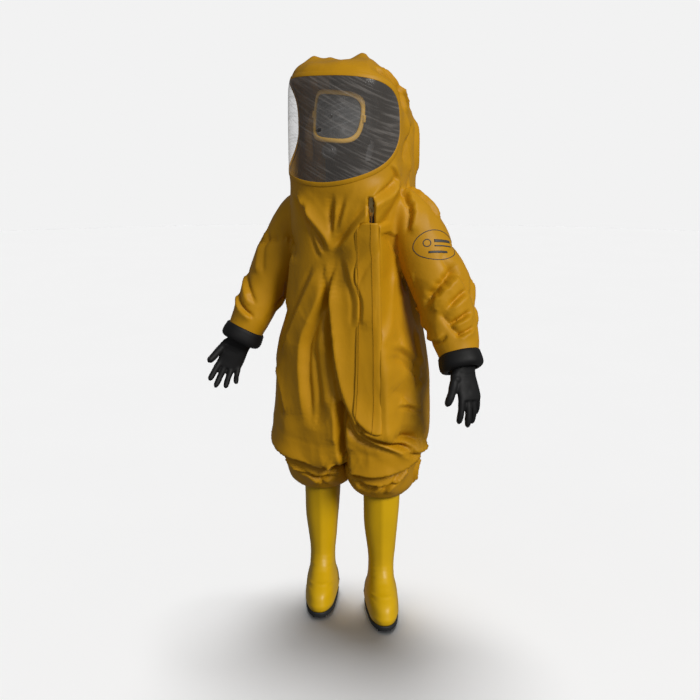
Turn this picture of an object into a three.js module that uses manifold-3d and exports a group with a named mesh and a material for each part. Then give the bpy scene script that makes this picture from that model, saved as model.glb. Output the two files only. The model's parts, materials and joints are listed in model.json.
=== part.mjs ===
// A one-piece chemical protective suit in its worn shape: a baggy gas-tight coverall with a
// built-in hood and wrap-round visor, a chest-to-thigh zip under a storm flap, two exhaust
// valves, rubber gloves on cuff rings, safety boots, and a breathing mask inside the hood.
// Millimetres. +Z is up, the visor looks along -Y, and the wearer's left side is +X.

import * as THREE from "three";
import { mergeVertices } from "three/addons/utils/BufferGeometryUtils.js";
import Module from "manifold-3d";

const wasm = await Module();
wasm.setup();

// ---------- driving dimensions ----------
const CLOTH = 3; // coated fabric with its seam tapes
const GAP = 0.4; // between pieces that touch
const RUNNING = 2.5; // between pieces that swing past each other
const SWEEP_STEP = 10; // degrees between the poses that a swept room is made of
const MERGE = 0.02; // edges shorter than this are closed up after a boolean
const ORIGIN_SHIFT = [-6, -54]; // brings the middle of the footprint to the origin

const NECK_Z = 1430; // seam between torso and hood
const CROTCH_Z = 640;
const HOOD_TOP = 1830;
const SIDE_SEAM_Y = 20;

// Torso stations from the crotch up: height, half width, depth in front, depth behind.
// The back bulges over the breathing set that the wearer carries under the suit.
const TORSO = [
  [CROTCH_Z, 262, 160, 190],
  [740, 264, 160, 206],
  [840, 256, 158, 222],
  [940, 240, 158, 240],
  [1040, 216, 160, 262],
  [1140, 198, 164, 280],
  [1240, 192, 168, 292],
  [1340, 192, 172, 298],
  [NECK_Z, 198, 176, 296],
];
const TORSO_POWER = 3;

// Hood stations from the neck seam up.
const HOOD = [
  [NECK_Z + GAP, 198, 176, 296],
  [1450, 194, 181, 296],
  [1530, 190, 183, 290],
  [1610, 186, 183, 268],
  [1690, 183, 183, 232],
  [1770, 178, 178, 194],
  [1800, 158, 150, 164],
  [1820, 112, 96, 112],
  [HOOD_TOP, 40, 36, 40],
];
const HOOD_POWER = 2.3;

// The visor is set 8 degrees round towards the wearer's right.
const VISOR = { turn: -8, middle: 1608, halfTurn: 86, rise: 160, drop: 156, upperPower: 3, lowerPower: 1.9 };
const VISOR_SHEET = 2;
const VISOR_PLAY = 0.8; // around the edge of the sheet in its opening
const VISOR_SEAL_WIDTH = 9;

// Each arm hangs outwards and forwards by these angles, in degrees, and turn is where its thumb
// points about the forearm. The right sleeve is rucked up a little, so it is the shorter one.
const SHOULDER = [190, 10, 1350];
const ARMS = [
  {
    side: "left", sign: 1, turn: -120,
    upper: { length: 274, out: 29, forward: 5 },
    lower: { length: 214, out: 23, forward: 21 },
  },
  {
    side: "right", sign: -1, turn: 30,
    upper: { length: 258, out: 26, forward: 0 },
    lower: { length: 202, out: 21, forward: 18 },
  },
];
const SHOULDER_BALL = 90;
const ELBOW_BALL = 78;
const ABDUCTION = [-5, 50];
const ELBOW_FLEX = [-10, 70];

// Legs and boots. Each knee is above its own boot.
const LEG_X = 132;
const KNEE_Z = 492;
const KNEE_BALL = 104;
const KNEE_FLEX = [0, 45];
const HEM_Z = 424;
const BOOT_TOP = 436;
const BOOTS = [
  { side: "left", sign: 1, x: 112, y: 6, turn: 26 },
  { side: "right", sign: -1, x: -108, y: 10, turn: 20 },
];
const SOLE_TOP = 26;

// The zip runs straight up the wearer's left front, under a flap sewn along its outer edge.
const ZIP = { x: 136, low: 690, high: 1392, tape: 14, sheet: 1.6, pitch: 36, stop: 9 };
const FLAP = { free: 96, sewnLow: 178, sewnHigh: 158, low: 684, high: 1340, sheet: 2.4, rise: 13 };
const HOOK = { width: 14, sheet: 1 };

const rad = THREE.MathUtils.degToRad;
const v3 = (x, y, z) => new THREE.Vector3(x, y, z);

// ---------- materials ----------
const paint = (color, roughness, metalness = 0, extra = {}) =>
  new THREE.MeshStandardMaterial({ color, roughness, metalness, ...extra });
const MATERIALS = {
  cloth: paint(0xc08a1c, 0.55),
  visorSheet: paint(0xd8dcdc, 0.08, 0, { transparent: true, opacity: 0.25 }),
  trim: paint(0xd39a2a, 0.5),
  gloveRubber: paint(0x0d0d0e, 0.55),
  bootYellow: paint(0xc79a06, 0.38),
  soleBlack: paint(0x121416, 0.7),
  ringPlastic: paint(0x2b2d30, 0.45),
  zipTape: paint(0x1a1a1c, 0.8),
  zipMetal: paint(0xb08d4a, 0.35, 0.9),
  maskRubber: paint(0x151516, 0.5),
  maskFrame: paint(0xd8a02c, 0.4),
  maskLens: paint(0xbfc8cc, 0.05, 0, { transparent: true, opacity: 0.3 }),
  webbing: paint(0x1d1e20, 0.85),
  steel: paint(0x9a9da0, 0.35, 0.9),
  lining: paint(0x3a3b3d, 0.9),
  valveBlack: paint(0x17181a, 0.5),
};

// ---------- closed skins ----------

// An oval outline at height z, seen from above. power 2 is an ellipse, and more is squarer.
// back scales the half width behind the axis.
function oval(z, width, front, behind, power = 2, count = 28, x = 0, y = 0, back = 1) {
  const ring = [];
  for (let i = 0; i < count; i++) {
    const t = (i / count) * 2 * Math.PI;
    const s = Math.sin(t);
    const c = Math.cos(t);
    const across = Math.sign(s) * Math.abs(s) ** (2 / power);
    const along = Math.sign(c) * Math.abs(c) ** (2 / power);
    const half = c < 0 ? THREE.MathUtils.lerp(width, width * back, -c) : width;
    ring.push(v3(x + half * across, y - (c > 0 ? front : behind) * along, z));
  }
  return ring;
}

const round = (z, radius, count = 20, x = 0, y = 0) => oval(z, radius, radius, radius, 2, count, x, y);

// A closed surface through rings of equal count: joined end to end, or capped flat at both ends.
function skin(rings, looped = false) {
  const count = rings[0].length;
  const points = rings.flat();
  const faces = [];
  const last = looped ? rings.length : rings.length - 1;
  for (let r = 0; r < last; r++) {
    const here = r * count;
    const next = ((r + 1) % rings.length) * count;
    for (let i = 0; i < count; i++) {
      const j = (i + 1) % count;
      faces.push(here + i, here + j, next + j, here + i, next + j, next + i);
    }
  }
  if (!looped) {
    [rings[0], rings[rings.length - 1]].forEach((ring, end) => {
      const middle = ring.reduce((sum, p) => sum.add(p), v3(0, 0, 0)).divideScalar(count);
      const start = end ? (rings.length - 1) * count : 0;
      points.push(middle);
      for (let i = 0; i < count; i++) {
        const pair = [start + i, start + ((i + 1) % count)];
        faces.push(points.length - 1, ...(end ? pair : pair.reverse()));
      }
    });
  }
  const geometry = new THREE.BufferGeometry().setFromPoints(points).setIndex(faces);
  return signedVolume(geometry) < 0 ? geometry.setIndex(faces.reverse()) : geometry;
}

function signedVolume(geometry) {
  const { position } = geometry.attributes;
  const corner = (i) => new THREE.Vector3().fromBufferAttribute(position, geometry.index.getX(i));
  let sum = 0;
  for (let i = 0; i < geometry.index.count; i += 3) {
    sum += corner(i).dot(corner(i + 1).cross(corner(i + 2)));
  }
  return sum / 6;
}

// A wall of one thickness, open at both ends, from a function (row, inset) that gives a ring.
function wall(rows, ringAt, thickness) {
  const outer = rows.map((row) => ringAt(row, 0));
  const inner = rows.map((row) => ringAt(row, thickness)).reverse();
  return skin([...outer, ...inner], true);
}

// A flat ring about the local Z axis with a rectangular section.
function band(inside, outside, low, high, count = 24) {
  return skin([round(low, outside, count), round(high, outside, count),
    round(high, inside, count), round(low, inside, count)], true);
}

// ---------- booleans ----------
function solid(geometry, matrix = new THREE.Matrix4()) {
  const bare = new THREE.BufferGeometry().setAttribute("position", geometry.getAttribute("position").clone());
  if (geometry.index) bare.setIndex(geometry.index.clone());
  const merged = mergeVertices(bare.applyMatrix4(matrix), 1e-3);
  return new wasm.Manifold(new wasm.Mesh({
    numProp: 3,
    vertProperties: merged.attributes.position.array,
    triVerts: new Uint32Array(merged.index.array),
  }));
}

function geometryOf(made) {
  const largest = made.decompose().sort((a, b) => b.volume() - a.volume())[0];
  const mesh = largest.simplify(MERGE).getMesh();
  return new THREE.BufferGeometry()
    .setAttribute("position", new THREE.BufferAttribute(new Float32Array(mesh.vertProperties), 3))
    .setIndex(new THREE.BufferAttribute(new Uint32Array(mesh.triVerts), 1));
}

const unionOf = (solids) => solids.reduce((a, b) => a.add(b));
const without = (geometry, ...cutters) =>
  geometryOf(cutters.reduce((left, cutter) => left.subtract(cutter), solid(geometry)));

// The room that a solid envelope sweeps as it turns about an axis through a point.
function swept(envelope, matrix, pivot, axis, [low, high]) {
  const poses = [];
  const steps = Math.ceil((high - low) / SWEEP_STEP);
  for (let i = 0; i <= steps; i++) {
    const angle = low + ((high - low) * i) / steps;
    const turn = new THREE.Matrix4().makeTranslation(pivot)
      .multiply(new THREE.Matrix4().makeRotationAxis(axis, rad(angle)))
      .multiply(new THREE.Matrix4().makeTranslation(pivot.clone().negate()));
    poses.push(solid(envelope, turn.multiply(matrix)));
  }
  return unionOf(poses);
}

function box(x0, x1, y0, y1, z0, z1) {
  return new THREE.BoxGeometry(x1 - x0, y1 - y0, z1 - z0)
    .translate((x0 + x1) / 2, (y0 + y1) / 2, (z0 + z1) / 2);
}

// ---------- scene graph ----------
const suit = new THREE.Group();
function place(name, geometry, material, parent = suit) {
  const mesh = new THREE.Mesh(geometry, material);
  mesh.name = name;
  parent.add(mesh);
  return mesh;
}

// A group at start whose local -Z axis runs along direction.
function limb(start, direction) {
  const group = new THREE.Group();
  group.position.copy(start);
  group.quaternion.setFromUnitVectors(v3(0, 0, -1), direction);
  suit.add(group);
  group.updateMatrixWorld(true);
  return group;
}

function hanging(out, forward, sign) {
  return v3(sign * Math.tan(rad(out)), -Math.tan(rad(forward)), -1).normalize();
}

// ---------- arms ----------
// Sleeve profiles: distance along the arm (negative is towards the body) and radius.
const ballRow = (radius, z) => [z, Math.sqrt(radius ** 2 - z ** 2)];
const UPPER_SLEEVE = [ballRow(SHOULDER_BALL, -56), ballRow(SHOULDER_BALL, -28), [0, SHOULDER_BALL],
  [70, 89], [150, 87]];
const UPPER_END = { short: 14, radius: ELBOW_BALL + RUNNING + CLOTH + 1 };
const LOWER_SLEEVE = [ballRow(ELBOW_BALL, -44), ballRow(ELBOW_BALL, -22), [0, ELBOW_BALL],
  [70, 76], [140, 68]];
const LOWER_END = { short: 21, radius: 62 };
const RING = { half: 20, tongue: 14, inside: 50, outside: 56 };

const ended = (profile, length, end) => [...profile, [length - end.short, end.radius]];
const sleeveWall = (profile) =>
  wall(profile, ([z, radius], inset) => round(-z, radius - inset, 18), CLOTH);
const envelope = (profile) => skin(profile.map(([z, radius]) => round(-z, radius + RUNNING, 24)));

function gloveForm(inset) {
  const palm = skin([
    oval(-14, 45 - inset, 33 - inset, 33 - inset, 2, 14),
    oval(-45, 43 - inset, 22 - inset, 22 - inset, 2, 14),
    oval(-82, 47 - inset, 17 - inset, 17 - inset, 2.2, 14),
    oval(-112, 44 - inset, 15 - inset, 15 - inset, 2.4, 14),
  ]);
  // Each digit: root x, root z, length, spread in degrees, curl in degrees, radius.
  const digits = [
    [34, -52, 66, 34, -16, 14],
    [32, -100, 66, 7, -8, 11],
    [11, -104, 74, 1, -6, 11.4],
    [-11, -103, 68, -5, -9, 11],
    [-31, -98, 52, -11, -13, 10],
  ].map(([x, z, length, spread, curl, radius]) => {
    const digit = new THREE.CapsuleGeometry(radius - inset, length, 2, 7);
    digit.translate(0, -length / 2, 0).rotateX(Math.PI / 2);
    const lean = new THREE.Euler(rad(curl), rad(-spread), 0, "YXZ");
    const place = new THREE.Matrix4().makeRotationFromEuler(lean).setPosition(x, 0, z);
    return solid(digit, place);
  });
  return unionOf([solid(palm), ...digits]);
}

function glove(sign) {
  const mouth = solid(skin([oval(-8, 42, 30, 30, 2, 14), oval(-46, 40, 19.5, 19.5, 2, 14)]));
  const shape = gloveForm(0).subtract(gloveForm(2.2)).subtract(mouth);
  const mirror = new THREE.Matrix4().makeScale(sign, 1, 1);
  const geometry = geometryOf(shape).applyMatrix4(mirror);
  if (sign < 0) geometry.setIndex(Array.from(geometry.index.array).reverse());
  return geometry;
}

function arm(form) {
  const { side, sign } = form;
  const shoulder = v3(sign * SHOULDER[0], SHOULDER[1], SHOULDER[2]);
  const upperDirection = hanging(form.upper.out, form.upper.forward, sign);
  const elbow = shoulder.clone().addScaledVector(upperDirection, form.upper.length);
  const lowerDirection = hanging(form.lower.out, form.lower.forward, sign);
  const upperProfile = ended(UPPER_SLEEVE, form.upper.length, UPPER_END);
  const lowerProfile = ended(LOWER_SLEEVE, form.lower.length, LOWER_END);
  const upper = limb(shoulder, upperDirection);
  const lower = limb(elbow, lowerDirection);

  const toUpper = upper.matrixWorld.clone().invert();
  const elbowRoom = swept(envelope(lowerProfile), toUpper.clone().multiply(lower.matrixWorld),
    elbow.clone().applyMatrix4(toUpper), v3(-1, 0, 0).transformDirection(toUpper), ELBOW_FLEX);
  place(`sleeve_upper_${side}`, without(sleeveWall(upperProfile), elbowRoom), MATERIALS.cloth, upper);
  place(`sleeve_lower_${side}`, sleeveWall(lowerProfile), MATERIALS.cloth, lower);

  // The hard ring sits in the sleeve's end, and the glove's rubber band grips it.
  const cuff = new THREE.Group();
  cuff.position.z = -form.lower.length;
  lower.add(cuff);
  const ring = band(RING.inside, RING.outside, -RING.half, RING.half + RING.tongue);
  place(`cuff_ring_${side}`, ring, MATERIALS.ringPlastic, cuff);
  const hand = new THREE.Group();
  hand.rotation.z = rad(form.turn);
  hand.position.z = -RING.half;
  cuff.add(hand);
  place(`cuff_band_${side}`, cuffBand(), MATERIALS.gloveRubber, hand);
  place(`glove_${side}`, glove(sign).translate(0, 0, -4), MATERIALS.gloveRubber, hand);
  return { shoulder, upper, profile: upperProfile };
}

// The rolled rubber band over the ring: its inner lip turns in under the ring's lower edge.
function cuffBand() {
  const inside = RING.outside + 1.2;
  const rows = [[38, inside], [40, 62], [34, 67], [18, 69], [0, 67], [-11, 60], [-12, 46 + GAP],
    [-8, 46 + GAP], [-GAP, 52], [-GAP, inside]];
  return skin(rows.map(([z, radius]) => round(z, radius, 22)), true);
}

const arms = ARMS.map(arm);
const armRoom = arms.map(({ shoulder, upper, profile }, i) => swept(envelope(profile),
  upper.matrixWorld, shoulder, v3(0, -ARMS[i].sign, 0), ABDUCTION));

// ---------- torso ----------
const torsoRing = ([z, width, front, behind], inset) =>
  oval(z, width - inset, front - inset, behind - inset, TORSO_POWER, 24);
const torso = solid(wall(TORSO, torsoRing, CLOTH));

// Depth of the torso's front at the zip's place, at height z.
function frontAt(z) {
  const above = Math.max(1, TORSO.findIndex(([station]) => station >= z));
  const [z0, a0, f0] = TORSO[above - 1];
  const [z1, a1, f1] = TORSO[above];
  const share = (z - z0) / (z1 - z0);
  const width = THREE.MathUtils.lerp(a0, a1, share);
  const front = THREE.MathUtils.lerp(f0, f1, share);
  return front * (1 - (ZIP.x / width) ** TORSO_POWER) ** (1 / TORSO_POWER);
}
const ZIP_Y = -Math.max(...TORSO.map(([z]) => frontAt(z))) - 2; // the zip lies on one plane

const tapeY = ZIP_Y + 3; // back face of the tapes
const placketEdges = [FLAP.free, ZIP.x + ZIP.tape + 3];
const WIDE = 400; // half size of a cutter that passes the whole torso
const placket = solid(box(...placketEdges, tapeY + GAP, tapeY + 6, ZIP.low - 16, ZIP.high + 12));
const zipSlot = solid(box(ZIP.x - 5, ZIP.x + 5, ZIP_Y - 30, ZIP_Y + 60, ZIP.low, ZIP.high));
const zipRest = solid(box(placketEdges[0] - 2, placketEdges[1] + 2, ZIP_Y - 60, tapeY + GAP,
  ZIP.low - 16, ZIP.high + 12));
const halfOf = (y0, y1) => solid(box(-WIDE, WIDE, y0, y1, CROTCH_Z - 50, NECK_Z + 50));
const splitSeam = (y0, y1) => geometryOf(torso.subtract(zipRest).add(placket)
  .subtract(zipSlot).intersect(halfOf(y0, y1)).subtract(armRoom[0]).subtract(armRoom[1]));
place("torso_front_panel", splitSeam(-WIDE, SIDE_SEAM_Y - GAP / 2), MATERIALS.cloth);
place("torso_back_panel", splitSeam(SIDE_SEAM_Y + GAP / 2, WIDE), MATERIALS.cloth);

// ---------- hood and visor ----------
function hoodAt(z) {
  const above = Math.max(1, HOOD.findIndex(([station]) => station >= z));
  const share = (z - HOOD[above - 1][0]) / (HOOD[above][0] - HOOD[above - 1][0]);
  return [1, 2, 3].map((k) => THREE.MathUtils.lerp(HOOD[above - 1][k], HOOD[above][k], share));
}

// A point on the hood's surface, at a turn from straight ahead and a height, moved out by lift.
function onHood(turn, z, lift) {
  const [width, front, behind] = hoodAt(z);
  const s = Math.sin(turn);
  const c = Math.cos(turn);
  const depth = c > 0 ? front : behind;
  const power = HOOD_POWER;
  const reach = (Math.abs(s / width) ** power + Math.abs(c / depth) ** power) ** (-1 / power) + lift;
  return v3(reach * s, -reach * c, z);
}

// The visor's outline on the hood, grown by a margin and lifted off it, or a share of it.
function visorOutline(grow, lift, share = 1, count = 40) {
  return Array.from({ length: count }, (_, i) => {
    const around = (i / count) * 2 * Math.PI;
    const s = Math.sin(around);
    const c = Math.cos(around);
    const power = s > 0 ? VISOR.upperPower : VISOR.lowerPower;
    const half = (s > 0 ? VISOR.rise : VISOR.drop) + grow;
    const reach = (Math.abs(c) ** power + Math.abs(s) ** power) ** (-1 / power) * share;
    const turn = (rad(VISOR.halfTurn) + grow / HOOD[3][1]) * reach * c;
    return onHood(rad(VISOR.turn) + turn, VISOR.middle + half * reach * s, lift);
  });
}

// A bent sheet that fills the visor's outline, between two lifts off the hood.
function visorPatch(grow, inside, outside) {
  const rows = (lift) => [0.34, 0.67, 1].map((share) => visorOutline(grow, lift, share));
  return skin([...rows(inside), ...rows(outside).reverse()]);
}

const hoodRing = ([z, width, front, behind], inset) =>
  oval(z - (z > 1790 ? inset : 0), width - inset, front - inset, behind - inset, HOOD_POWER, 28);
const hoodInner = HOOD.map((row) => hoodRing(row, CLOTH)).reverse();
const hoodOuter = HOOD.map((row) => hoodRing(row, 0));
const hoodWall = skin([...hoodInner, ...hoodOuter]);
const visorCutter = solid(visorPatch(VISOR_PLAY, -7, 6)); // from well inside the wall to well outside
place("hood_shell", without(hoodWall, visorCutter, ...armRoom), MATERIALS.cloth);
place("visor", visorPatch(-GAP, -VISOR_SHEET - GAP, -GAP), MATERIALS.visorSheet);
const SEAL = { low: 4.4, high: 6.6 };
place("visor_seal", skin([
  visorOutline(VISOR_SEAL_WIDTH, SEAL.low), visorOutline(VISOR_SEAL_WIDTH, SEAL.high),
  visorOutline(-VISOR_SEAL_WIDTH / 2, SEAL.high), visorOutline(-VISOR_SEAL_WIDTH / 2, SEAL.low),
], true), MATERIALS.trim);

// ---------- zip, slider and storm flap ----------

// One tape with its row of teeth, in one closed outline. Its back face is on the placket.
function zipTape(sign) {
  const root = sign * 2.2;
  const tip = sign * -1.6;
  const outline = new THREE.Shape().moveTo(sign * ZIP.tape, ZIP.low).lineTo(root, ZIP.low);
  const teeth = Math.floor((ZIP.high - ZIP.low - ZIP.pitch) / ZIP.pitch);
  for (let i = 0; i < teeth; i++) {
    const z = ZIP.low + (i + (sign > 0 ? 0.3 : 0.8)) * ZIP.pitch;
    const top = z + ZIP.pitch * 0.4;
    outline.lineTo(root, z).lineTo(tip, z).lineTo(tip, top).lineTo(root, top);
  }
  outline.lineTo(root, ZIP.high).lineTo(sign * ZIP.tape, ZIP.high);
  const tape = new THREE.ExtrudeGeometry(outline, { depth: ZIP.sheet, bevelEnabled: false });
  return tape.rotateX(Math.PI / 2).translate(ZIP.x, tapeY, 0);
}
place("zip_tape_inner", zipTape(-1), MATERIALS.zipTape);
place("zip_tape_outer", zipTape(1), MATERIALS.zipTape);
const zipStop = (low) => box(ZIP.x - 8, ZIP.x + 8, tapeY - 4, tapeY, low, low + ZIP.stop);
place("zip_stop_top", zipStop(ZIP.high + GAP), MATERIALS.zipMetal);
place("zip_stop_bottom", zipStop(ZIP.low - ZIP.stop - GAP), MATERIALS.zipMetal);

// The slider: a plate over the teeth with an arch that holds the pull's bar.
const slider = new THREE.Group();
slider.position.set(ZIP.x, tapeY - ZIP.sheet - GAP, ZIP.high - 18);
suit.add(slider);
const plateOutline = new THREE.Shape()
  .moveTo(-5, -16).lineTo(5, -16).lineTo(9, 0).lineTo(8, 13)
  .quadraticCurveTo(0, 18, -8, 13).lineTo(-9, 0).closePath();
const plate = new THREE.ExtrudeGeometry(plateOutline, { depth: 2, bevelEnabled: false, curveSegments: 4 });
const archLeg = (z) => solid(box(-2.5, 2.5, -6.5, -1.8, z, z + 2));
place("zip_slider", geometryOf(unionOf([
  solid(plate.rotateX(Math.PI / 2)),
  archLeg(-4),
  archLeg(5),
  solid(box(-2.5, 2.5, -8, -6.3, -4, 7)),
])), MATERIALS.zipMetal, slider);

// The pull lies upwards over the zip's top, with its bar through the arch.
const PULL = { bar: 1.5, thick: 1.6, y: -4.9, length: 40 };
const pullOutline = new THREE.Shape().moveTo(-5.5, -PULL.bar).lineTo(5.5, -PULL.bar)
  .lineTo(6, PULL.length - 6).absarc(0, PULL.length - 6, 6, 0, Math.PI, false).closePath();
pullOutline.holes.push(new THREE.Path().moveTo(-3.2, 1).lineTo(-3.2, 10).lineTo(3.2, 10).lineTo(3.2, 1));
const plain = (depth, curveSegments) => ({ depth, bevelEnabled: false, curveSegments });
const pull = new THREE.ExtrudeGeometry(pullOutline, plain(PULL.thick, 6));
pull.rotateX(Math.PI / 2).translate(0, PULL.y + PULL.thick, 0);
place("zip_pull", pull, MATERIALS.zipMetal, slider);

// The flap's section: sewn edge, a step out over the zip, and a free edge that curls in.
const flapY = tapeY - FLAP.rise - ZIP.sheet;
const flapOutline = new THREE.Shape()
  .moveTo(FLAP.sewnLow, flapY + 22).lineTo(FLAP.sewnLow + FLAP.sheet, flapY + 22)
  .quadraticCurveTo(FLAP.sewnLow, flapY, FLAP.sewnLow - 16, flapY - FLAP.sheet)
  .lineTo(FLAP.free + 8, flapY - FLAP.sheet)
  .quadraticCurveTo(FLAP.free, flapY - FLAP.sheet, FLAP.free - 4, flapY)
  .lineTo(FLAP.free - 3, flapY + 1.4)
  .quadraticCurveTo(FLAP.free + 2, flapY, FLAP.free + 10, flapY)
  .lineTo(FLAP.sewnLow - 18, flapY)
  .quadraticCurveTo(FLAP.sewnLow - 2, flapY, FLAP.sewnLow, flapY + 22);
const flap = new THREE.ExtrudeGeometry(flapOutline, plain(FLAP.high - FLAP.low, 4));
flap.translate(0, 0, FLAP.low);

// The sewn edge leans inwards as it rises, because the chest is narrower than the hips.
function lean(geometry) {
  const { position } = geometry.attributes;
  for (let i = 0; i < position.count; i++) {
    const across = (position.getX(i) - FLAP.free) / (FLAP.sewnLow - FLAP.free);
    const up = (position.getZ(i) - FLAP.low) / (FLAP.high - FLAP.low);
    position.setX(i, position.getX(i) - (FLAP.sewnLow - FLAP.sewnHigh) * Math.max(0, across) * up);
  }
  return geometry;
}
place("storm_flap", lean(flap), MATERIALS.cloth);
const hookX = FLAP.free + 10;
const strip = (y) =>
  box(hookX, hookX + HOOK.width, y, y + HOOK.sheet, FLAP.low + 14, FLAP.high - 14);
place("flap_hook_strip", strip(flapY + GAP), MATERIALS.webbing);
place("flap_loop_strip", strip(tapeY - HOOK.sheet), MATERIALS.webbing);

// ---------- exhaust valves ----------
// Two one-way valves on the back of the hood: seat, rubber disc that lifts, and vented cap.
const VALVE = { turn: 0.36, z: 1520, bore: 15, lift: 2, off: 4 };
function valve({ side, sign }) {
  const turn = Math.PI - sign * VALVE.turn;
  const face = onHood(turn, VALVE.z, 0);
  const along = onHood(turn + 0.01, VALVE.z, 0).sub(onHood(turn - 0.01, VALVE.z, 0));
  const outward = v3(-along.y, along.x, 0).normalize();
  outward.multiplyScalar(Math.sign(outward.y));
  const group = new THREE.Group();
  group.position.copy(face).addScaledVector(outward, VALVE.off);
  group.quaternion.setFromUnitVectors(v3(0, 0, 1), outward);
  suit.add(group);
  place(`valve_seat_${side}`, band(VALVE.bore, 27, 0, 4, 16), MATERIALS.valveBlack, group);
  place(`valve_disc_${side}`, skin([round(4.4, 19, 16), round(6, 19, 16)]), MATERIALS.gloveRubber, group);
  const cap = [[4.4, 22], [4.4, 26], [12, 25], [14.5, 20], [14.5, 7], [11.5, 7], [11.5, 22]];
  place(`valve_cap_${side}`, skin(cap.map(([z, radius]) => round(z, radius, 16)), true),
    MATERIALS.valveBlack, group);
}
ARMS.forEach(valve);

// ---------- legs ----------
const UPPER_LEG = [[CROTCH_Z - 6 - GAP, 128, 156, 178], [590, 122, 150, 164], [540, 111, 130, 136],
  [KNEE_Z - 4, 104, 112, 112]];
const legRing = ({ x, y }) => ([z, width, front, behind], inset) => {
  const down = (CROTCH_Z - z) / (CROTCH_Z - KNEE_Z);
  return oval(z, width - inset, front - inset, behind - inset, 2.3, 22,
    THREE.MathUtils.lerp(Math.sign(x) * LEG_X, x, down), THREE.MathUtils.lerp(0, y, down));
};

// The lower leg's cloth is a ball at the knee, gathered in over the boot's shaft.
const HEM = [ballRow(KNEE_BALL, 34), ballRow(KNEE_BALL, 17), [0, KNEE_BALL], ballRow(KNEE_BALL, -34),
  ballRow(KNEE_BALL, HEM_Z + 10 - KNEE_Z), [HEM_Z - KNEE_Z, 78]];

function leg(boot) {
  const knee = v3(boot.x, boot.y, KNEE_Z);
  const toKnee = new THREE.Matrix4().makeTranslation(knee);
  const axis = v3(Math.cos(rad(boot.turn)), Math.sin(rad(boot.turn)), 0);
  const ball = skin(HEM.map(([z, radius]) => round(z, radius + RUNNING, 24)));
  const room = swept(ball, toKnee, knee, axis, KNEE_FLEX);
  place(`leg_upper_${boot.side}`, without(wall(UPPER_LEG, legRing(boot), CLOTH), room), MATERIALS.cloth);
  const lower = new THREE.Group();
  lower.position.copy(knee);
  suit.add(lower);
  place(`leg_hem_${boot.side}`, wall(HEM, ([z, radius], inset) => round(z, radius - inset, 22), CLOTH),
    MATERIALS.cloth, lower);
}
BOOTS.forEach(leg);

// The gusset closes the torso's bottom around the two legs.
const gussetRows = [CROTCH_Z - 5 - GAP, CROTCH_Z - GAP];
const gussetPlate = skin(gussetRows.map((z) => torsoRing([z, ...TORSO[0].slice(1)], 1)));
const legHoles = BOOTS.map((boot) => {
  const [, ...sizes] = UPPER_LEG[0];
  const ring = (z) => legRing(boot)([CROTCH_Z, ...sizes], CLOTH).map((p) => p.setZ(z));
  return solid(skin([ring(CROTCH_Z - 20), ring(CROTCH_Z + 20)]));
});
place("crotch_gusset", without(gussetPlate, ...legHoles), MATERIALS.cloth);

// ---------- boots ----------
// Rows: height, half width, reach to the toe, reach to the heel, and the heel's share of the width.
const BOOT_UPPER = [
  [SOLE_TOP + GAP, 53, 196, 70, 0.78],
  [50, 56, 197, 72, 0.78],
  [80, 52, 180, 70, 0.8],
  [104, 44, 138, 66, 0.88],
  [136, 42, 84, 63, 0.95],
  [180, 43, 63, 60, 1],
  [290, 55, 60, 62, 1],
  [BOOT_TOP, 62, 62, 64, 1],
];
const bootRing = ([z, width, toe, heel, back], inset) =>
  oval(z, width - inset, toe - inset, heel - inset, 2.2, 20, 0, 0, back);

function sole() {
  const rows = [[0, 50, 188, 66, 0.8], [6, 54, 196, 72, 0.8], [SOLE_TOP, 55, 199, 74, 0.8]];
  const arch = solid(box(-80, 80, -50, 18, -5, 7));
  return without(skin(rows.map((row) => bootRing(row, 0))), arch);
}

function toeCap() {
  const rows = [[SOLE_TOP + 2, 50, 193], [56, 50.5, 192], [76, 47, 174], [86, 38, 150]];
  const ring = (inset) => rows.map(([z, width, toe]) =>
    oval(z - inset / 2, width - inset - 3, toe - inset - 3.5, 60, 2.2, 24));
  const front = solid(box(-80, 80, -220, -122, 0, 120));
  return geometryOf(solid(skin(ring(0))).subtract(solid(skin([
    oval(SOLE_TOP - 3, 45.2, 187.7, 60, 2.2, 24), ...ring(1.8)]))).intersect(front));
}

function boot({ side, x, y, turn }) {
  const group = new THREE.Group();
  group.position.set(x, y, 0);
  group.rotation.z = rad(turn);
  suit.add(group);
  place(`boot_upper_${side}`, wall(BOOT_UPPER, bootRing, 3), MATERIALS.bootYellow, group);
  place(`boot_sole_${side}`, sole(), MATERIALS.soleBlack, group);
  place(`boot_toe_cap_${side}`, toeCap(), MATERIALS.steel, group);
  const insole = [SOLE_TOP + GAP, SOLE_TOP + 6].map((z) => oval(z, 45, 116, 60, 2.2, 24, 0, 0, 0.8));
  place(`boot_insole_${side}`, skin(insole), MATERIALS.lining, group);
}
BOOTS.forEach(boot);

// ---------- breathing mask ----------
// It sits where the wearer's face would be, turned like the visor and tipped a little to one side.
const MASK_Z = 1650;
const MASK_TURN = -6;
const MASK_TIP = 5;
const mask = new THREE.Group();
mask.position.set(-6, -26, MASK_Z);
mask.rotation.set(0, rad(MASK_TIP), rad(MASK_TURN), "ZYX");
suit.add(mask);

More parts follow.
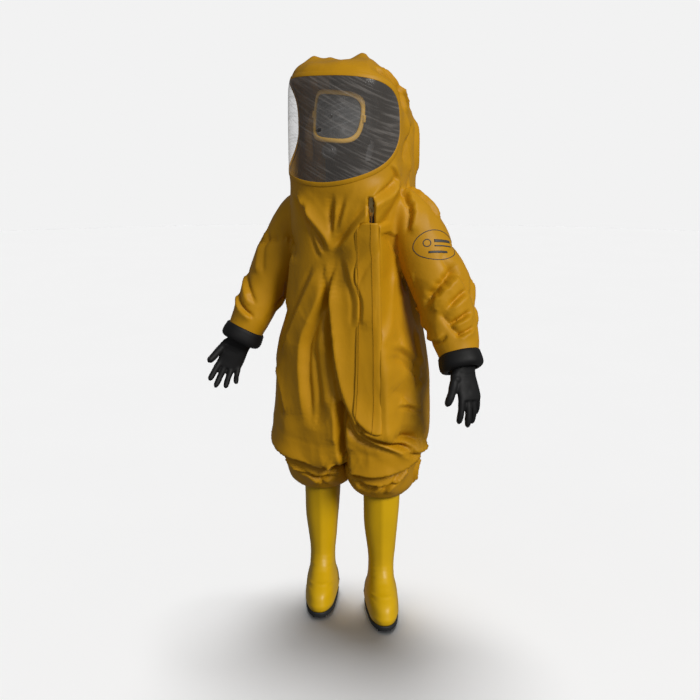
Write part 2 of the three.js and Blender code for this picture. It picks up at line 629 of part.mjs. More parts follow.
// A point on the lens's bent sheet: u across and w up from its middle, in front of the face.
const LENS = { across: 94, up: 66, radius: 98, power: 3.6 };
function onLens(u, w, lift) {
  const turn = u / LENS.radius;
  const reach = LENS.radius + lift;
  return v3(reach * Math.sin(turn), -reach * Math.cos(turn) + 12, w);
}
function lensPatch(grow, inside, outside, rings = 3, count = 24) {
  const rows = (lift) => Array.from({ length: rings }, (_, r) => Array.from({ length: count }, (_, i) => {
    const around = (i / count) * 2 * Math.PI;
    const s = Math.sin(around);
    const c = Math.cos(around);
    const reach = (Math.abs(c) ** LENS.power + Math.abs(s) ** LENS.power) ** (-1 / LENS.power);
    const share = (reach * (r + 1)) / rings;
    const narrow = 1 - 0.1 * Math.max(0, -s);
    return onLens((LENS.across + grow) * share * c * narrow, (LENS.up + grow) * share * s, lift);
  }));
  return skin([...rows(inside), ...rows(outside).reverse()]);
}
place("mask_lens", lensPatch(-1.8, -2.2, 0), MATERIALS.maskLens, mask);
place("mask_frame", geometryOf(solid(lensPatch(11, -4, 5)).subtract(solid(lensPatch(0, -30, 30)))),
  MATERIALS.maskFrame, mask);

// The rubber face piece is a tapering skirt behind the frame, down to the chin.
const skirtRow = (y, across, up, down) => Array.from({ length: 24 }, (_, i) => {
  const around = (i / 24) * 2 * Math.PI;
  const s = Math.sin(around);
  const c = Math.cos(around);
  const power = 2.6;
  const reach = (Math.abs(c) ** power + Math.abs(s) ** power) ** (-1 / power);
  return v3(across * reach * c, y, (s > 0 ? up : down) * reach * s);
});
const SKIRT = [[-22, 80, 58, 88], [0, 91, 74, 104], [26, 86, 76, 100], [44, 76, 70, 88]];
place("mask_face_piece", wall(SKIRT, ([y, across, up, down], inset) =>
  skirtRow(y, across - inset, up - inset, down - inset), 3), MATERIALS.maskRubber, mask);

// The chin block carries the breathing valve; the speech disc is its front cover.
const CHIN = [[-118, 24, 46, 30], [-100, 38, 66, 40], [-80, 40, 74, 30]];
const chin = skin(CHIN.map((row) => oval(...row, 2.2, 16)));
const filledSkirt = (grow, frontMost = SKIRT[0][0]) => solid(skin(SKIRT.map(([y, across, up, down], i) =>
  skirtRow(i ? y : frontMost, across + grow, up + grow, down + grow))));
place("mask_chin_block", without(chin, filledSkirt(GAP)), MATERIALS.maskRubber, mask);
const port = new THREE.Group();
port.position.set(0, -74, -106);
port.rotation.x = Math.PI / 2;
mask.add(port);
place("mask_valve_housing", band(8, 23, 0.6, 15, 16), MATERIALS.valveBlack, port);
place("mask_speech_disc", skin([round(15.4, 21, 16), round(18.5, 19, 16), round(19.5, 12, 16)]),
  MATERIALS.steel, port);

// The head cover keeps the mask on the wearer's head: a dark cap with a curtain down the neck, open
// at the front for the mask. A strap hangs it from the hood's crown.
const CROWN = [[-150, 66, 62, 76], [-90, 74, 76, 90], [-20, 80, 86, 98], [10, 79, 90, 102],
  [40, 72, 84, 96], [66, 58, 68, 80], [80, 36, 42, 50]];
const crownOuter = CROWN.map(([z, width, front, behind]) => oval(z, width, front, behind, 2.1, 24, 0, 42));
const crownInner = CROWN.map(([z, width, front, behind]) =>
  oval(z - (z > 60 ? 2.5 : 0), width - 2.5, front - 2.5, behind - 2.5, 2.1, 24, 0, 42)).reverse();
const CROWN_RISE = 20;
const harness = solid(skin([...crownInner, ...crownOuter]).translate(0, 0, CROWN_RISE));
const underChin = solid(box(-90, 90, -120, 40, -200, -50));
const cover = harness.subtract(filledSkirt(3, SKIRT[0][0] - 90)).subtract(underChin);
place("head_harness", geometryOf(cover), MATERIALS.webbing, mask);
const strapLow = CROWN_RISE + CROWN[CROWN.length - 1][0] + 1;
const strapHigh = HOOD_TOP - MASK_Z - CLOTH - 4;
place("harness_crown_strap", box(-12, 12, 28, 56, strapLow, strapHigh), MATERIALS.webbing, mask);

suit.position.set(ORIGIN_SHIFT[0], ORIGIN_SHIFT[1], 0);
const part = new THREE.Group();
part.add(suit);
export default part;
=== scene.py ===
"""Chemical protective suit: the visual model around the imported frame. Metres, +Z up."""
import json
import math

import bmesh
import bpy
import numpy as np
from mathutils import Matrix, Vector
from mathutils.bvhtree import BVHTree


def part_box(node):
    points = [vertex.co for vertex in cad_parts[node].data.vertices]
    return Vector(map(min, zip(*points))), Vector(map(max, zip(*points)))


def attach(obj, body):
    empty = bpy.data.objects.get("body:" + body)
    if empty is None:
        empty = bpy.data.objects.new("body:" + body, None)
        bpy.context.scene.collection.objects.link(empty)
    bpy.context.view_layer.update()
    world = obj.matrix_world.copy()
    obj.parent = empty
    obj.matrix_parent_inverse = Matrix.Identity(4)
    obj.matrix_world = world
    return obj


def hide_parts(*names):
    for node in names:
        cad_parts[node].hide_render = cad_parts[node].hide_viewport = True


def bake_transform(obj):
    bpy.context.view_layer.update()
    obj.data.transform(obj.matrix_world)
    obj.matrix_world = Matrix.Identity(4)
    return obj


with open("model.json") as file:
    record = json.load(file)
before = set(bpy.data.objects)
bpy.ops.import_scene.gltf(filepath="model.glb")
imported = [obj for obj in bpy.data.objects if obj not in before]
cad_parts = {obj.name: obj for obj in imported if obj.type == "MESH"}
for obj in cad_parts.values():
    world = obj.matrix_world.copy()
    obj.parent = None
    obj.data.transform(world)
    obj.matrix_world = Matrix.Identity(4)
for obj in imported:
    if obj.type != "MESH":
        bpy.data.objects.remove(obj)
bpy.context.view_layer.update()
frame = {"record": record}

JOINTS = {j["name"]: j for j in frame["record"]["behaviour"]["joints"]}
SIDES = (("left", 1), ("right", -1))


def joint_at(name):
    return Vector(JOINTS[name]["pos_m"])


# The torso's upright axis in the frame. Shapes below are drawn about it, then moved there.
SHOULDER_Y = 0.010
AXIS = (joint_at("shoulder_left") + joint_at("shoulder_right")) / 2
AXIS = Vector((AXIS.x, AXIS.y - SHOULDER_Y, 0))
VOXEL = 0.0052
CROTCH_Z = 0.640
HEM_Z = 0.430
VISOR = {"turn": -8, "half_turn": 86, "middle": 1.609, "rise": 0.160, "drop": 0.157, "upper": 3.1,
         "lower": 1.85, "radius": 0.183}
ZIP = {"x": 0.136, "low": 0.690, "high": 1.392, "back": -0.1535, "tape": 0.014, "sheet": 0.0016}


def valve_place(side):
    """Middle of a valve's seat on the hood's back, and the way it faces, from its slide's axis."""
    low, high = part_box(f"valve_seat_{side}")
    axis = np.array(JOINTS[f"exhaust_valve_{side}"]["axis"])
    return np.array((low + high) / 2 - AXIS), axis / np.linalg.norm(axis)


VALVES = {side: valve_place(side) for side, _ in SIDES}
VALVE = {"under": -0.0026}


# ---------- small numeric tools ----------
def unit(v):
    return v / np.maximum(np.linalg.norm(v, axis=-1, keepdims=True), 1e-12)


def smoothstep(a, b, x):
    t = np.clip((x - a) / (b - a), 0, 1)
    return t * t * (3 - 2 * t)


def spline(points, count):
    """Catmull-Rom through the points, as count samples at even steps of length."""
    p = np.array(points, float)
    p = np.vstack([2 * p[0] - p[1], p, 2 * p[-1] - p[-2]])
    dense = []
    for i in range(1, len(p) - 2):
        for t in np.linspace(0, 1, 24, endpoint=False):
            a, b, c, d = p[i - 1], p[i], p[i + 1], p[i + 2]
            dense.append(0.5 * (2 * b + (c - a) * t + (2 * a - 5 * b + 4 * c - d) * t**2
                                + (3 * b - a - 3 * c + d) * t**3))
    dense.append(p[-2])
    dense = np.array(dense)
    reach = np.r_[0, np.cumsum(np.linalg.norm(np.diff(dense, axis=0), axis=1))]
    at = np.linspace(0, reach[-1], count)
    return np.stack([np.interp(at, reach, dense[:, k]) for k in range(dense.shape[1])], axis=1)


def lattice_noise(p, seed=0):
    """Smooth value noise from -1 to 1 at points p, with cells of size 1."""
    base = np.floor(p).astype(np.int64)
    f = p - base
    f = f * f * (3 - 2 * f)
    total = np.zeros(len(p))
    for corner in range(8):
        step = np.array([corner & 1, corner >> 1 & 1, corner >> 2 & 1])
        q = base + step
        h = (q[:, 0] * 73856093) ^ (q[:, 1] * 19349663) ^ (q[:, 2] * 83492791) ^ (seed * 2654435)
        h = (h ^ (h >> 13)) * 1274126177 & 0x7FFFFFFF
        value = (h % 10007) / 5003.5 - 1
        total += value * np.prod(np.where(step, f, 1 - f), axis=1)
    return total


def ridged(p, seed=0):
    """Noise with narrow crests: 1 on a crest, towards -1 between them."""
    return 1 - 2 * np.abs(lattice_noise(p, seed)) ** 0.8


# ---------- meshes ----------
def mesh_object(name, verts, faces, smooth=True):
    mesh = bpy.data.meshes.new(name)
    mesh.from_pydata([tuple(v) for v in verts], [], [tuple(f) for f in faces])
    mesh.validate()
    if smooth:
        mesh.polygons.foreach_set("use_smooth", [True] * len(mesh.polygons))
    obj = bpy.data.objects.new(name, mesh)
    bpy.context.scene.collection.objects.link(obj)
    return obj


def coords(obj):
    co = np.empty(len(obj.data.vertices) * 3)
    obj.data.vertices.foreach_get("co", co)
    return co.reshape(-1, 3)


def set_coords(obj, co):
    obj.data.vertices.foreach_set("co", np.asarray(co, float).ravel())
    obj.data.update()


def normals(obj):
    no = np.empty(len(obj.data.vertices) * 3)
    obj.data.vertex_normals.foreach_get("vector", no)
    return no.reshape(-1, 3)


def edges_of(obj):
    pairs = np.empty(len(obj.data.edges) * 2, dtype=np.int64)
    obj.data.edges.foreach_get("vertices", pairs)
    return pairs.reshape(-1, 2)


def bake(obj):
    """Applies the object's modifiers."""
    depsgraph = bpy.context.evaluated_depsgraph_get()
    mesh = bpy.data.meshes.new_from_object(obj.evaluated_get(depsgraph))
    obj.modifiers.clear()
    old, obj.data = obj.data, mesh
    mesh.name = old.name
    bpy.data.meshes.remove(old)
    return obj


def relax(co, pairs, rounds, weight=0.5, mask=None):
    """Moves each point towards the mean of its neighbours."""
    count = len(co)
    a, b = pairs[:, 0], pairs[:, 1]
    degree = np.bincount(a, minlength=count) + np.bincount(b, minlength=count)
    degree = np.maximum(degree, 1)[:, None]
    share = weight if mask is None else weight * mask[:, None]
    for _ in range(rounds):
        total = np.stack([np.bincount(a, co[b, k], count) + np.bincount(b, co[a, k], count)
                          for k in range(3)], axis=1)
        co = co + share * (total / degree - co)
    return co


def oval(z, width, front, behind, power=2.4, count=64, x=0.0, y=0.0):
    t = np.linspace(0, 2 * np.pi, count, endpoint=False)
    s, c = np.sin(t), np.cos(t)
    across = np.sign(s) * np.abs(s) ** (2 / power)
    along = np.sign(c) * np.abs(c) ** (2 / power)
    depth = np.where(c > 0, front, behind)
    return np.stack([x + width * across, y - depth * along, np.full(count, float(z))], axis=1)


def tube_rings(path, radii, count=40, squash=1.0):
    """Rings of the given radii square to a path, flattened along its side by squash."""
    path = np.array(path, float)
    tangent = unit(np.gradient(path, axis=0))
    side = unit(np.cross(tangent, [0.0, 1.0, 0.0]))
    ahead = np.cross(side, tangent)
    t = np.linspace(0, 2 * np.pi, count, endpoint=False)
    return [path[i] + r * (np.cos(t)[:, None] * side[i] * squash + np.sin(t)[:, None] * ahead[i])
            for i, r in enumerate(radii)]


def skin(rings, closed=True, looped=False):
    """Verts and faces through rings of one count, with capped ends if closed."""
    count = len(rings[0])
    verts = np.concatenate(rings)
    faces = []
    for r in range(len(rings) if looped else len(rings) - 1):
        here, there = r * count, (r + 1) % len(rings) * count
        for i in range(count):
            j = (i + 1) % count
            faces.append((here + i, here + j, there + j, there + i))
    if closed and not looped:
        faces.append(tuple(range(count))[::-1])
        faces.append(tuple(range((len(rings) - 1) * count, len(rings) * count)))
    return verts, faces


def outward(obj):
    bm = bmesh.new()
    bm.from_mesh(obj.data)
    bmesh.ops.recalc_face_normals(bm, faces=bm.faces)
    bm.to_mesh(obj.data)
    bm.free()
    return obj


# ---------- the suit's own shape ----------
# Stations of torso and hood: height, half width, depth in front, depth behind.
BODY = [
    (0.545, 0.200, 0.118, 0.130), (0.575, 0.246, 0.146, 0.160), (0.64, 0.266, 0.156, 0.180),
    (0.74, 0.262, 0.158, 0.200), (0.84, 0.254, 0.156, 0.215), (0.94, 0.236, 0.154, 0.235),
    (1.04, 0.208, 0.150, 0.255), (1.14, 0.193, 0.150, 0.272), (1.24, 0.188, 0.152, 0.285),
    (1.34, 0.188, 0.158, 0.290), (1.40, 0.187, 0.166, 0.290), (1.45, 0.184, 0.175, 0.288),
    (1.53, 0.183, 0.181, 0.282), (1.61, 0.183, 0.182, 0.260), (1.69, 0.182, 0.182, 0.226),
    (1.745, 0.179, 0.179, 0.198), (1.780, 0.166, 0.164, 0.172), (1.803, 0.136, 0.132, 0.138),
    (1.815, 0.092, 0.088, 0.092), (1.819, 0.040, 0.038, 0.040),
]
BODY_POWER = 2.5
BODY_LINE = spline(BODY, 70)

# Each leg: height, centre x, centre y, half width, half depth. The cloth bags over the boot.
LEG = [
    (0.700, 0.128, 0.005, 0.122, 0.150), (0.640, 0.130, 0.004, 0.126, 0.150),
    (0.580, 0.126, 0.002, 0.121, 0.142), (0.530, 0.120, 0.002, 0.116, 0.128),
    (0.485, 0.115, 0.004, 0.113, 0.119), (0.455, 0.111, 0.005, 0.104, 0.108),
    (0.436, 0.110, 0.006, 0.088, 0.092), (0.424, 0.110, 0.006, 0.074, 0.078),
]


def arm_path(side, sign):
    shoulder = np.array(joint_at(f"shoulder_{side}") - AXIS)
    elbow = np.array(joint_at(f"elbow_{side}") - AXIS)
    cuff = np.array(joint_at(f"glove_turn_{side}") - AXIS)
    inner = shoulder + np.array([-sign * 0.095, 0.0, 0.030])
    upper = (shoulder + elbow) / 2 + [sign * 0.004, 0, 0]
    end = cuff + unit(elbow - cuff) * 0.004
    return spline([inner, shoulder, upper, elbow, (elbow + cuff) / 2, end], 30)


ARM_PATHS = {side: arm_path(side, sign) for side, sign in SIDES}

SLEEVE_RADII = {
    "left": [(0.0, 0.066), (0.14, 0.073), (0.28, 0.084), (0.45, 0.091), (0.62, 0.092), (0.74, 0.085),
             (0.88, 0.073), (0.97, 0.063), (1.0, 0.060)],
    "right": [(0.0, 0.064), (0.14, 0.062), (0.28, 0.067), (0.45, 0.073), (0.62, 0.073), (0.74, 0.070),
              (0.88, 0.065), (0.97, 0.061), (1.0, 0.060)],
}


def base_shape():
    """Torso, hood, sleeves and legs as one closed skin of even quads."""
    verts, faces, start = [], [], 0
    shells = [skin([oval(z, w, f, b, BODY_POWER) for z, w, f, b in BODY_LINE])]
    for side, sign in SIDES:
        boot = joint_at(f"knee_{side}") - AXIS
        rings = []
        for z, x, y, w, d in spline(LEG, 26):
            low = smoothstep(0.60, 0.44, z)
            cx = sign * x * (1 - low) + boot.x * low
            rings.append(oval(z, w, d, d, 2.2, 48, cx, y * (1 - low) + boot.y * low))
        shells.append(skin(rings))
        path = ARM_PATHS[side]
        share = np.linspace(0, 1, len(path))
        stops = np.array(SLEEVE_RADII[side])
        shells.append(skin(tube_rings(path, np.interp(share, stops[:, 0], stops[:, 1]))))
    for v, f in shells:
        verts.append(v)
        faces += [tuple(i + start for i in face) for face in f]
        start += len(v)
    obj = outward(mesh_object("suit_cloth", np.concatenate(verts), faces))
    remesh = obj.modifiers.new("even", "REMESH")
    remesh.mode = "VOXEL"
    remesh.voxel_size = VOXEL
    bake(obj)
    set_coords(obj, relax(coords(obj), edges_of(obj), 10, 0.5))
    return obj


# ---------- folds ----------
def stroke(cloth, line, height, width, crease=0.0, reach=1.0, side=1, push=0.0, ends=0.2, power=1.2):
    """Adds one fold along a line of surface points: a crest (or a valley, if height is below 0) that
    falls steeply on the given side, to a narrow crease, and gently on the other. A sideways push makes
    the crest overhang."""
    points, outs = line
    along = unit(np.gradient(points, axis=0))
    sides = unit(np.cross(along, outs)) * side
    low = points.min(0) - 3.4 * width
    high = points.max(0) + 3.4 * width
    near = np.where(((cloth["co"] > low) & (cloth["co"] < high)).all(1))[0]
    at = cloth["co"][near]
    gap = np.full(len(near), 9.0)
    best = np.zeros(len(near), int)
    for i, point in enumerate(points):
        away = np.linalg.norm(at - point, axis=1)
        closer = away < gap
        gap[closer] = away[closer]
        best[closer] = i
    facing = np.einsum("ij,ij->i", cloth["no"][near], outs[best]) > -0.15
    near, at, best = near[facing], at[facing], best[facing]
    off = at - points[best]
    across = np.einsum("ij,ij->i", off, sides[best]) / width
    beyond = np.einsum("ij,ij->i", off, along[best]) / width
    share = best / (len(points) - 1)
    fade = smoothstep(0, ends, share) * smoothstep(1, 1 - ends, share)
    fade *= np.exp(-np.maximum(0, np.abs(beyond) - 0.4) ** 2) * smoothstep(3.3, 2.2, np.abs(across))
    slope = np.where(across > 0, STEEP, GENTLE)
    crest = np.exp(-np.abs(across / slope) ** power)
    dip = np.exp(-np.abs((across - reach) / 0.42) ** 1.6)
    lift = (height * crest - crease * dip) * fade
    cloth["move"][near] += lift[:, None] * cloth["no"][near]
    cloth["move"][near] += (push * crest * fade)[:, None] * sides[best]


# How far a fold's crest reaches on its steep and on its gentle side, in widths.
STEEP = 0.60
GENTLE = 1.30


def on_body(tree, angle, z):
    """The cloth's point and outward direction at an angle from straight ahead and a height."""
    turn = math.radians(angle)
    out = Vector((math.sin(turn), -math.cos(turn), 0))
    from_inside = z > CROTCH_Z
    start = Vector((0, 0, z)) + (Vector() if from_inside else out * 0.6)
    found = tree.ray_cast(start, out if from_inside else -out)
    point = found[0] if found[0] else start
    return np.array(point), np.array(out)


def even_marks(marks, scale, step):
    """Marks of two unlike measures, each scaled to metres, as marks at even steps between them."""
    scaled = np.array(marks, float) * scale
    length = np.linalg.norm(np.diff(scaled, axis=0), axis=1).sum()
    return spline(scaled, max(8, int(length / step))) / scale


def body_line(tree, marks, step=0.008):
    """A line of points on the torso, hood or legs through marks of angle and height."""
    pairs = [on_body(tree, a, z) for a, z in even_marks(marks, [math.radians(1) * 0.2, 1.0], step)]
    return np.array([p for p, _ in pairs]), np.array([o for _, o in pairs])


def on_arm(tree, side, share, angle):
    """The sleeve's point at a share of the arm's length and an angle about it from its front."""
    path = ARM_PATHS[side]
    place = share * (len(path) - 1)
    i = min(int(place), len(path) - 2)
    middle = path[i] + (path[i + 1] - path[i]) * (place - i)
    along = unit(path[i + 1] - path[i])
    sign = dict(SIDES)[side]
    ahead = unit(np.array([0.0, -1.0, 0.0]) + along * along[1])
    outer = np.cross(along, ahead) * sign
    outer = outer if outer[0] * sign > 0 else -outer
    turn = math.radians(angle)
    out = ahead * math.cos(turn) + outer * math.sin(turn)
    found = tree.ray_cast(Vector(middle + out * 0.16), Vector(-out), 0.16)
    return (np.array(found[0]) if found[0] else middle + out * 0.07), out


def arm_line(tree, side, marks, step=0.007):
    """A line of points on a sleeve through marks of share along the arm and angle about it."""
    pairs = [on_arm(tree, side, t, a) for t, a in even_marks(marks, [0.55, math.radians(1) * 0.085], step)]
    return np.array([p for p, _ in pairs]), np.array([o for _, o in pairs])


# Folds of the body: marks of angle and height, then what stroke() takes.
BODY_FOLDS = [
    # under the visor, and the chest
    ([(-42, 1.425), (-22, 1.345), (-6, 1.285), (0, 1.235)], 0.016, 0.020,
     dict(crease=0.016, side=1, push=-0.006)),
    ([(80, 1.47), (60, 1.410), (42, 1.36), (21, 1.277), (4, 1.238)], 0.020, 0.021,
     dict(crease=0.014, side=1, push=0.004)),
    ([(66, 1.43), (46, 1.30), (30, 1.20), (22, 1.12)], 0.010, 0.020, dict(crease=0.007, side=-1)),
    ([(10, 1.43), (8, 1.36), (5, 1.275)], 0.013, 0.014, dict(crease=0.010, side=1, ends=0.45)),
    ([(0, 1.43), (1, 1.36), (3, 1.29)], -0.009, 0.013, dict(ends=0.45)),
    ([(24, 1.43), (18, 1.36), (10, 1.29)], 0.010, 0.015, dict(crease=0.009, ends=0.45)),
    ([(-26, 1.40), (-24, 1.34), (-16, 1.27), (-8, 1.22)], 0.008, 0.015, dict(crease=0.008)),
    # from the waist's knot down the wearer's right front
    ([(-1, 1.245), (-12, 1.123), (-33, 0.983), (-37, 0.891), (-34, 0.759), (-32, 0.658)], 0.015, 0.024,
     dict(crease=0.014, side=-1)),
    ([(-14, 1.20), (-34, 1.10), (-52, 0.98), (-60, 0.88)], 0.010, 0.022, dict(crease=0.008)),
    ([(-26, 0.95), (-18, 0.86), (-16, 0.74), (-20, 0.66)], -0.011, 0.026, dict()),
    ([(-55, 1.24), (-62, 1.14), (-70, 1.03)], 0.012, 0.022, dict(crease=0.009)),
    ([(-8, 1.02), (-14, 0.93), (-8, 0.80), (-4, 0.72)], 0.007, 0.022, dict(crease=0.005)),
    # the main drape, which hangs over the flap and ends in a lip
    ([(3, 1.222), (9, 1.032), (17, 0.874), (25, 0.779), (38, 0.700), (58, 0.656), (72, 0.615)], 0.030, 0.028,
     dict(crease=0.030, reach=1.25, side=1, push=0.014)),
    ([(18, 1.24), (28, 1.17), (35, 1.099), (34, 1.005)], 0.012, 0.018, dict(crease=0.010, side=1)),
    ([(5, 0.98), (6, 0.88), (10, 0.78), (20, 0.70)], 0.009, 0.022, dict(crease=0.006, side=1)),
    ([(14, 0.76), (30, 0.665), (48, 0.625)], -0.014, 0.020, dict()),
    # wearer's left side
    ([(59, 0.937), (76, 0.875), (94, 0.804)], -0.013, 0.018, dict()),
    ([(62, 0.97), (80, 0.915), (100, 0.85)], 0.009, 0.017, dict(crease=0.006)),
    ([(60, 0.83), (68, 0.79), (76, 0.73)], -0.012, 0.020, dict()),
    ([(64, 0.775), (74, 0.760), (86, 0.735)], 0.011, 0.014, dict(crease=0.008, side=1)),
    ([(96, 1.00), (88, 0.90), (84, 0.78)], 0.010, 0.020, dict(crease=0.007)),
    ([(116, 1.31), (92, 1.262), (79, 1.235), (84, 1.16), (92, 1.086)], -0.016, 0.016, dict()),
    ([(70, 1.20), (64, 1.12), (62, 1.02), (56, 0.95)], 0.010, 0.020, dict(crease=0.006)),
    ([(108, 1.22), (104, 1.10), (108, 0.98)], 0.010, 0.022, dict(crease=0.006)),
    # wearer's right side
    ([(-88, 1.24), (-76, 1.262), (-62, 1.252), (-50, 1.22)], -0.014, 0.016, dict()),
    ([(-92, 1.06), (-84, 0.94), (-80, 0.82)], 0.010, 0.022, dict(crease=0.008)),
    ([(-70, 0.86), (-58, 0.78), (-50, 0.69)], 0.011, 0.020, dict(crease=0.009)),
    ([(-110, 1.16), (-104, 1.02), (-100, 0.90), (-102, 0.78)], 0.011, 0.024, dict(crease=0.007)),
    # back
    ([(176, 1.44), (178, 1.36), (172, 1.28)], 0.008, 0.022, dict(crease=0.005)),
    ([(150, 1.40), (142, 1.26), (146, 1.12), (156, 1.00)], 0.012, 0.026, dict(crease=0.009)),
    ([(-146, 1.40), (-138, 1.24), (-146, 1.10), (-158, 0.98)], 0.013, 0.026, dict(crease=0.009)),
    ([(160, 1.02), (176, 0.93), (194, 0.90), (214, 0.93)], 0.014, 0.024,
     dict(crease=0.014, side=1, push=0.006)),
    ([(130, 0.98), (140, 0.87), (160, 0.80), (178, 0.77)], 0.013, 0.024, dict(crease=0.012, side=1)),
    ([(-128, 0.97), (-136, 0.86), (-150, 0.78), (-168, 0.74)], 0.012, 0.024, dict(crease=0.010, side=-1)),
    ([(122, 0.84), (130, 0.74), (146, 0.67)], 0.010, 0.020, dict(crease=0.008)),
    ([(-118, 0.84), (-122, 0.74), (-138, 0.67)], 0.011, 0.020, dict(crease=0.008)),
    # hood
    ([(120, 1.63), (104, 1.60), (93, 1.565), (88, 1.50)], -0.013, 0.015, dict()),
    ([(104, 1.66), (98, 1.62), (100, 1.54), (104, 1.46)], 0.012, 0.017, dict(crease=0.008, side=-1)),
    ([(62, 1.512), (68, 1.50), (76, 1.46)], 0.010, 0.011, dict(crease=0.008, side=1)),
    ([(118, 1.74), (106, 1.70), (100, 1.66)], 0.009, 0.016, dict(crease=0.008, side=1)),
    ([(138, 1.66), (130, 1.56), (134, 1.46)], 0.010, 0.022, dict(crease=0.008)),
    ([(-122, 1.68), (-112, 1.60), (-112, 1.50)], 0.011, 0.020, dict(crease=0.008)),
    ([(-150, 1.62), (-156, 1.54), (-148, 1.46)], 0.010, 0.022, dict(crease=0.006)),
    # the slit between the legs, and its two lips
    ([(12, 0.775), (12, 0.68), (12, 0.60), (15, 0.545)], -0.055, 0.012, dict(ends=0.10, power=1.8)),
    # the lip of the main drape, with the cavity above it
    ([(26, 0.705), (38, 0.664), (55, 0.634), (76, 0.590)], 0.024, 0.017,
     dict(crease=0.036, side=-1, reach=0.9)),
    ([(60, 0.668), (71, 0.652), (82, 0.640)], -0.034, 0.015, dict(ends=0.3)),
    ([(64, 0.625), (76, 0.612), (90, 0.625)], 0.014, 0.012, dict(crease=0.014, side=1)),
    ([(3, 0.80), (5, 0.70), (5, 0.61)], 0.013, 0.018, dict(side=-1)),
    ([(21, 0.73), (20, 0.66), (20, 0.60)], 0.016, 0.018, dict(side=1)),
    # the body's lower edge, hanging over the cloth that is gathered onto the boots
    ([(-82, 0.640), (-62, 0.585), (-38, 0.562), (-14, 0.556), (4, 0.575)], 0.022, 0.019,
     dict(crease=0.022, side=1, push=0.010)),
    ([(16, 0.575), (34, 0.548), (54, 0.552), (74, 0.580), (92, 0.640)], 0.024, 0.019,
     dict(crease=0.024, side=1, push=0.010)),
    ([(-66, 0.545), (-48, 0.515), (-28, 0.500), (-12, 0.515)], 0.016, 0.013,
     dict(crease=0.014, side=1, push=0.004)),
    ([(-56, 0.525), (-42, 0.490), (-36, 0.452)], 0.013, 0.012, dict(crease=0.010, side=-1)),
    ([(-8, 0.535), (-20, 0.490), (-34, 0.462)], 0.014, 0.012, dict(crease=0.012, side=1)),
    ([(22, 0.530), (34, 0.500), (40, 0.455)], 0.015, 0.013, dict(crease=0.012, side=-1)),
    ([(28, 0.520), (50, 0.498), (72, 0.515)], 0.014, 0.012, dict(crease=0.012, side=1, push=0.004)),
    ([(78, 0.545), (66, 0.500), (60, 0.455)], 0.014, 0.012, dict(crease=0.012, side=1)),
    ([(52, 0.500), (54, 0.475), (50, 0.450)], 0.010, 0.010, dict(crease=0.010, side=1)),
    ([(98, 0.56), (94, 0.51), (98, 0.46)], 0.012, 0.012, dict(crease=0.010)),
    ([(-98, 0.56), (-92, 0.51), (-96, 0.46)], 0.012, 0.012, dict(crease=0.010)),
    ([(112, 0.575), (140, 0.545), (166, 0.565)], 0.018, 0.018, dict(crease=0.018, side=-1, push=0.006)),
    ([(-114, 0.575), (-142, 0.545), (-168, 0.565)], 0.018, 0.018, dict(crease=0.018, side=1, push=0.006)),
    ([(124, 0.53), (138, 0.49), (134, 0.45)], 0.012, 0.012, dict(crease=0.010)),
    ([(-126, 0.53), (-140, 0.49), (-136, 0.45)], 0.012, 0.012, dict(crease=0.010)),
    ([(156, 0.53), (150, 0.49), (154, 0.45)], 0.010, 0.012, dict(crease=0.008)),
    ([(-156, 0.53), (-150, 0.49), (-154, 0.45)], 0.010, 0.012, dict(crease=0.008)),
    # crown
    ([(66, 1.80), (84, 1.745), (98, 1.70)], 0.010, 0.013, dict(crease=0.008)),
    ([(100, 1.80), (112, 1.74), (128, 1.68)], 0.012, 0.015, dict(crease=0.008)),
    ([(-110, 1.79), (-120, 1.74), (-130, 1.69)], 0.010, 0.014, dict(crease=0.008)),
    ([(170, 1.80), (164, 1.73), (172, 1.66)], 0.011, 0.016, dict(crease=0.008)),
]

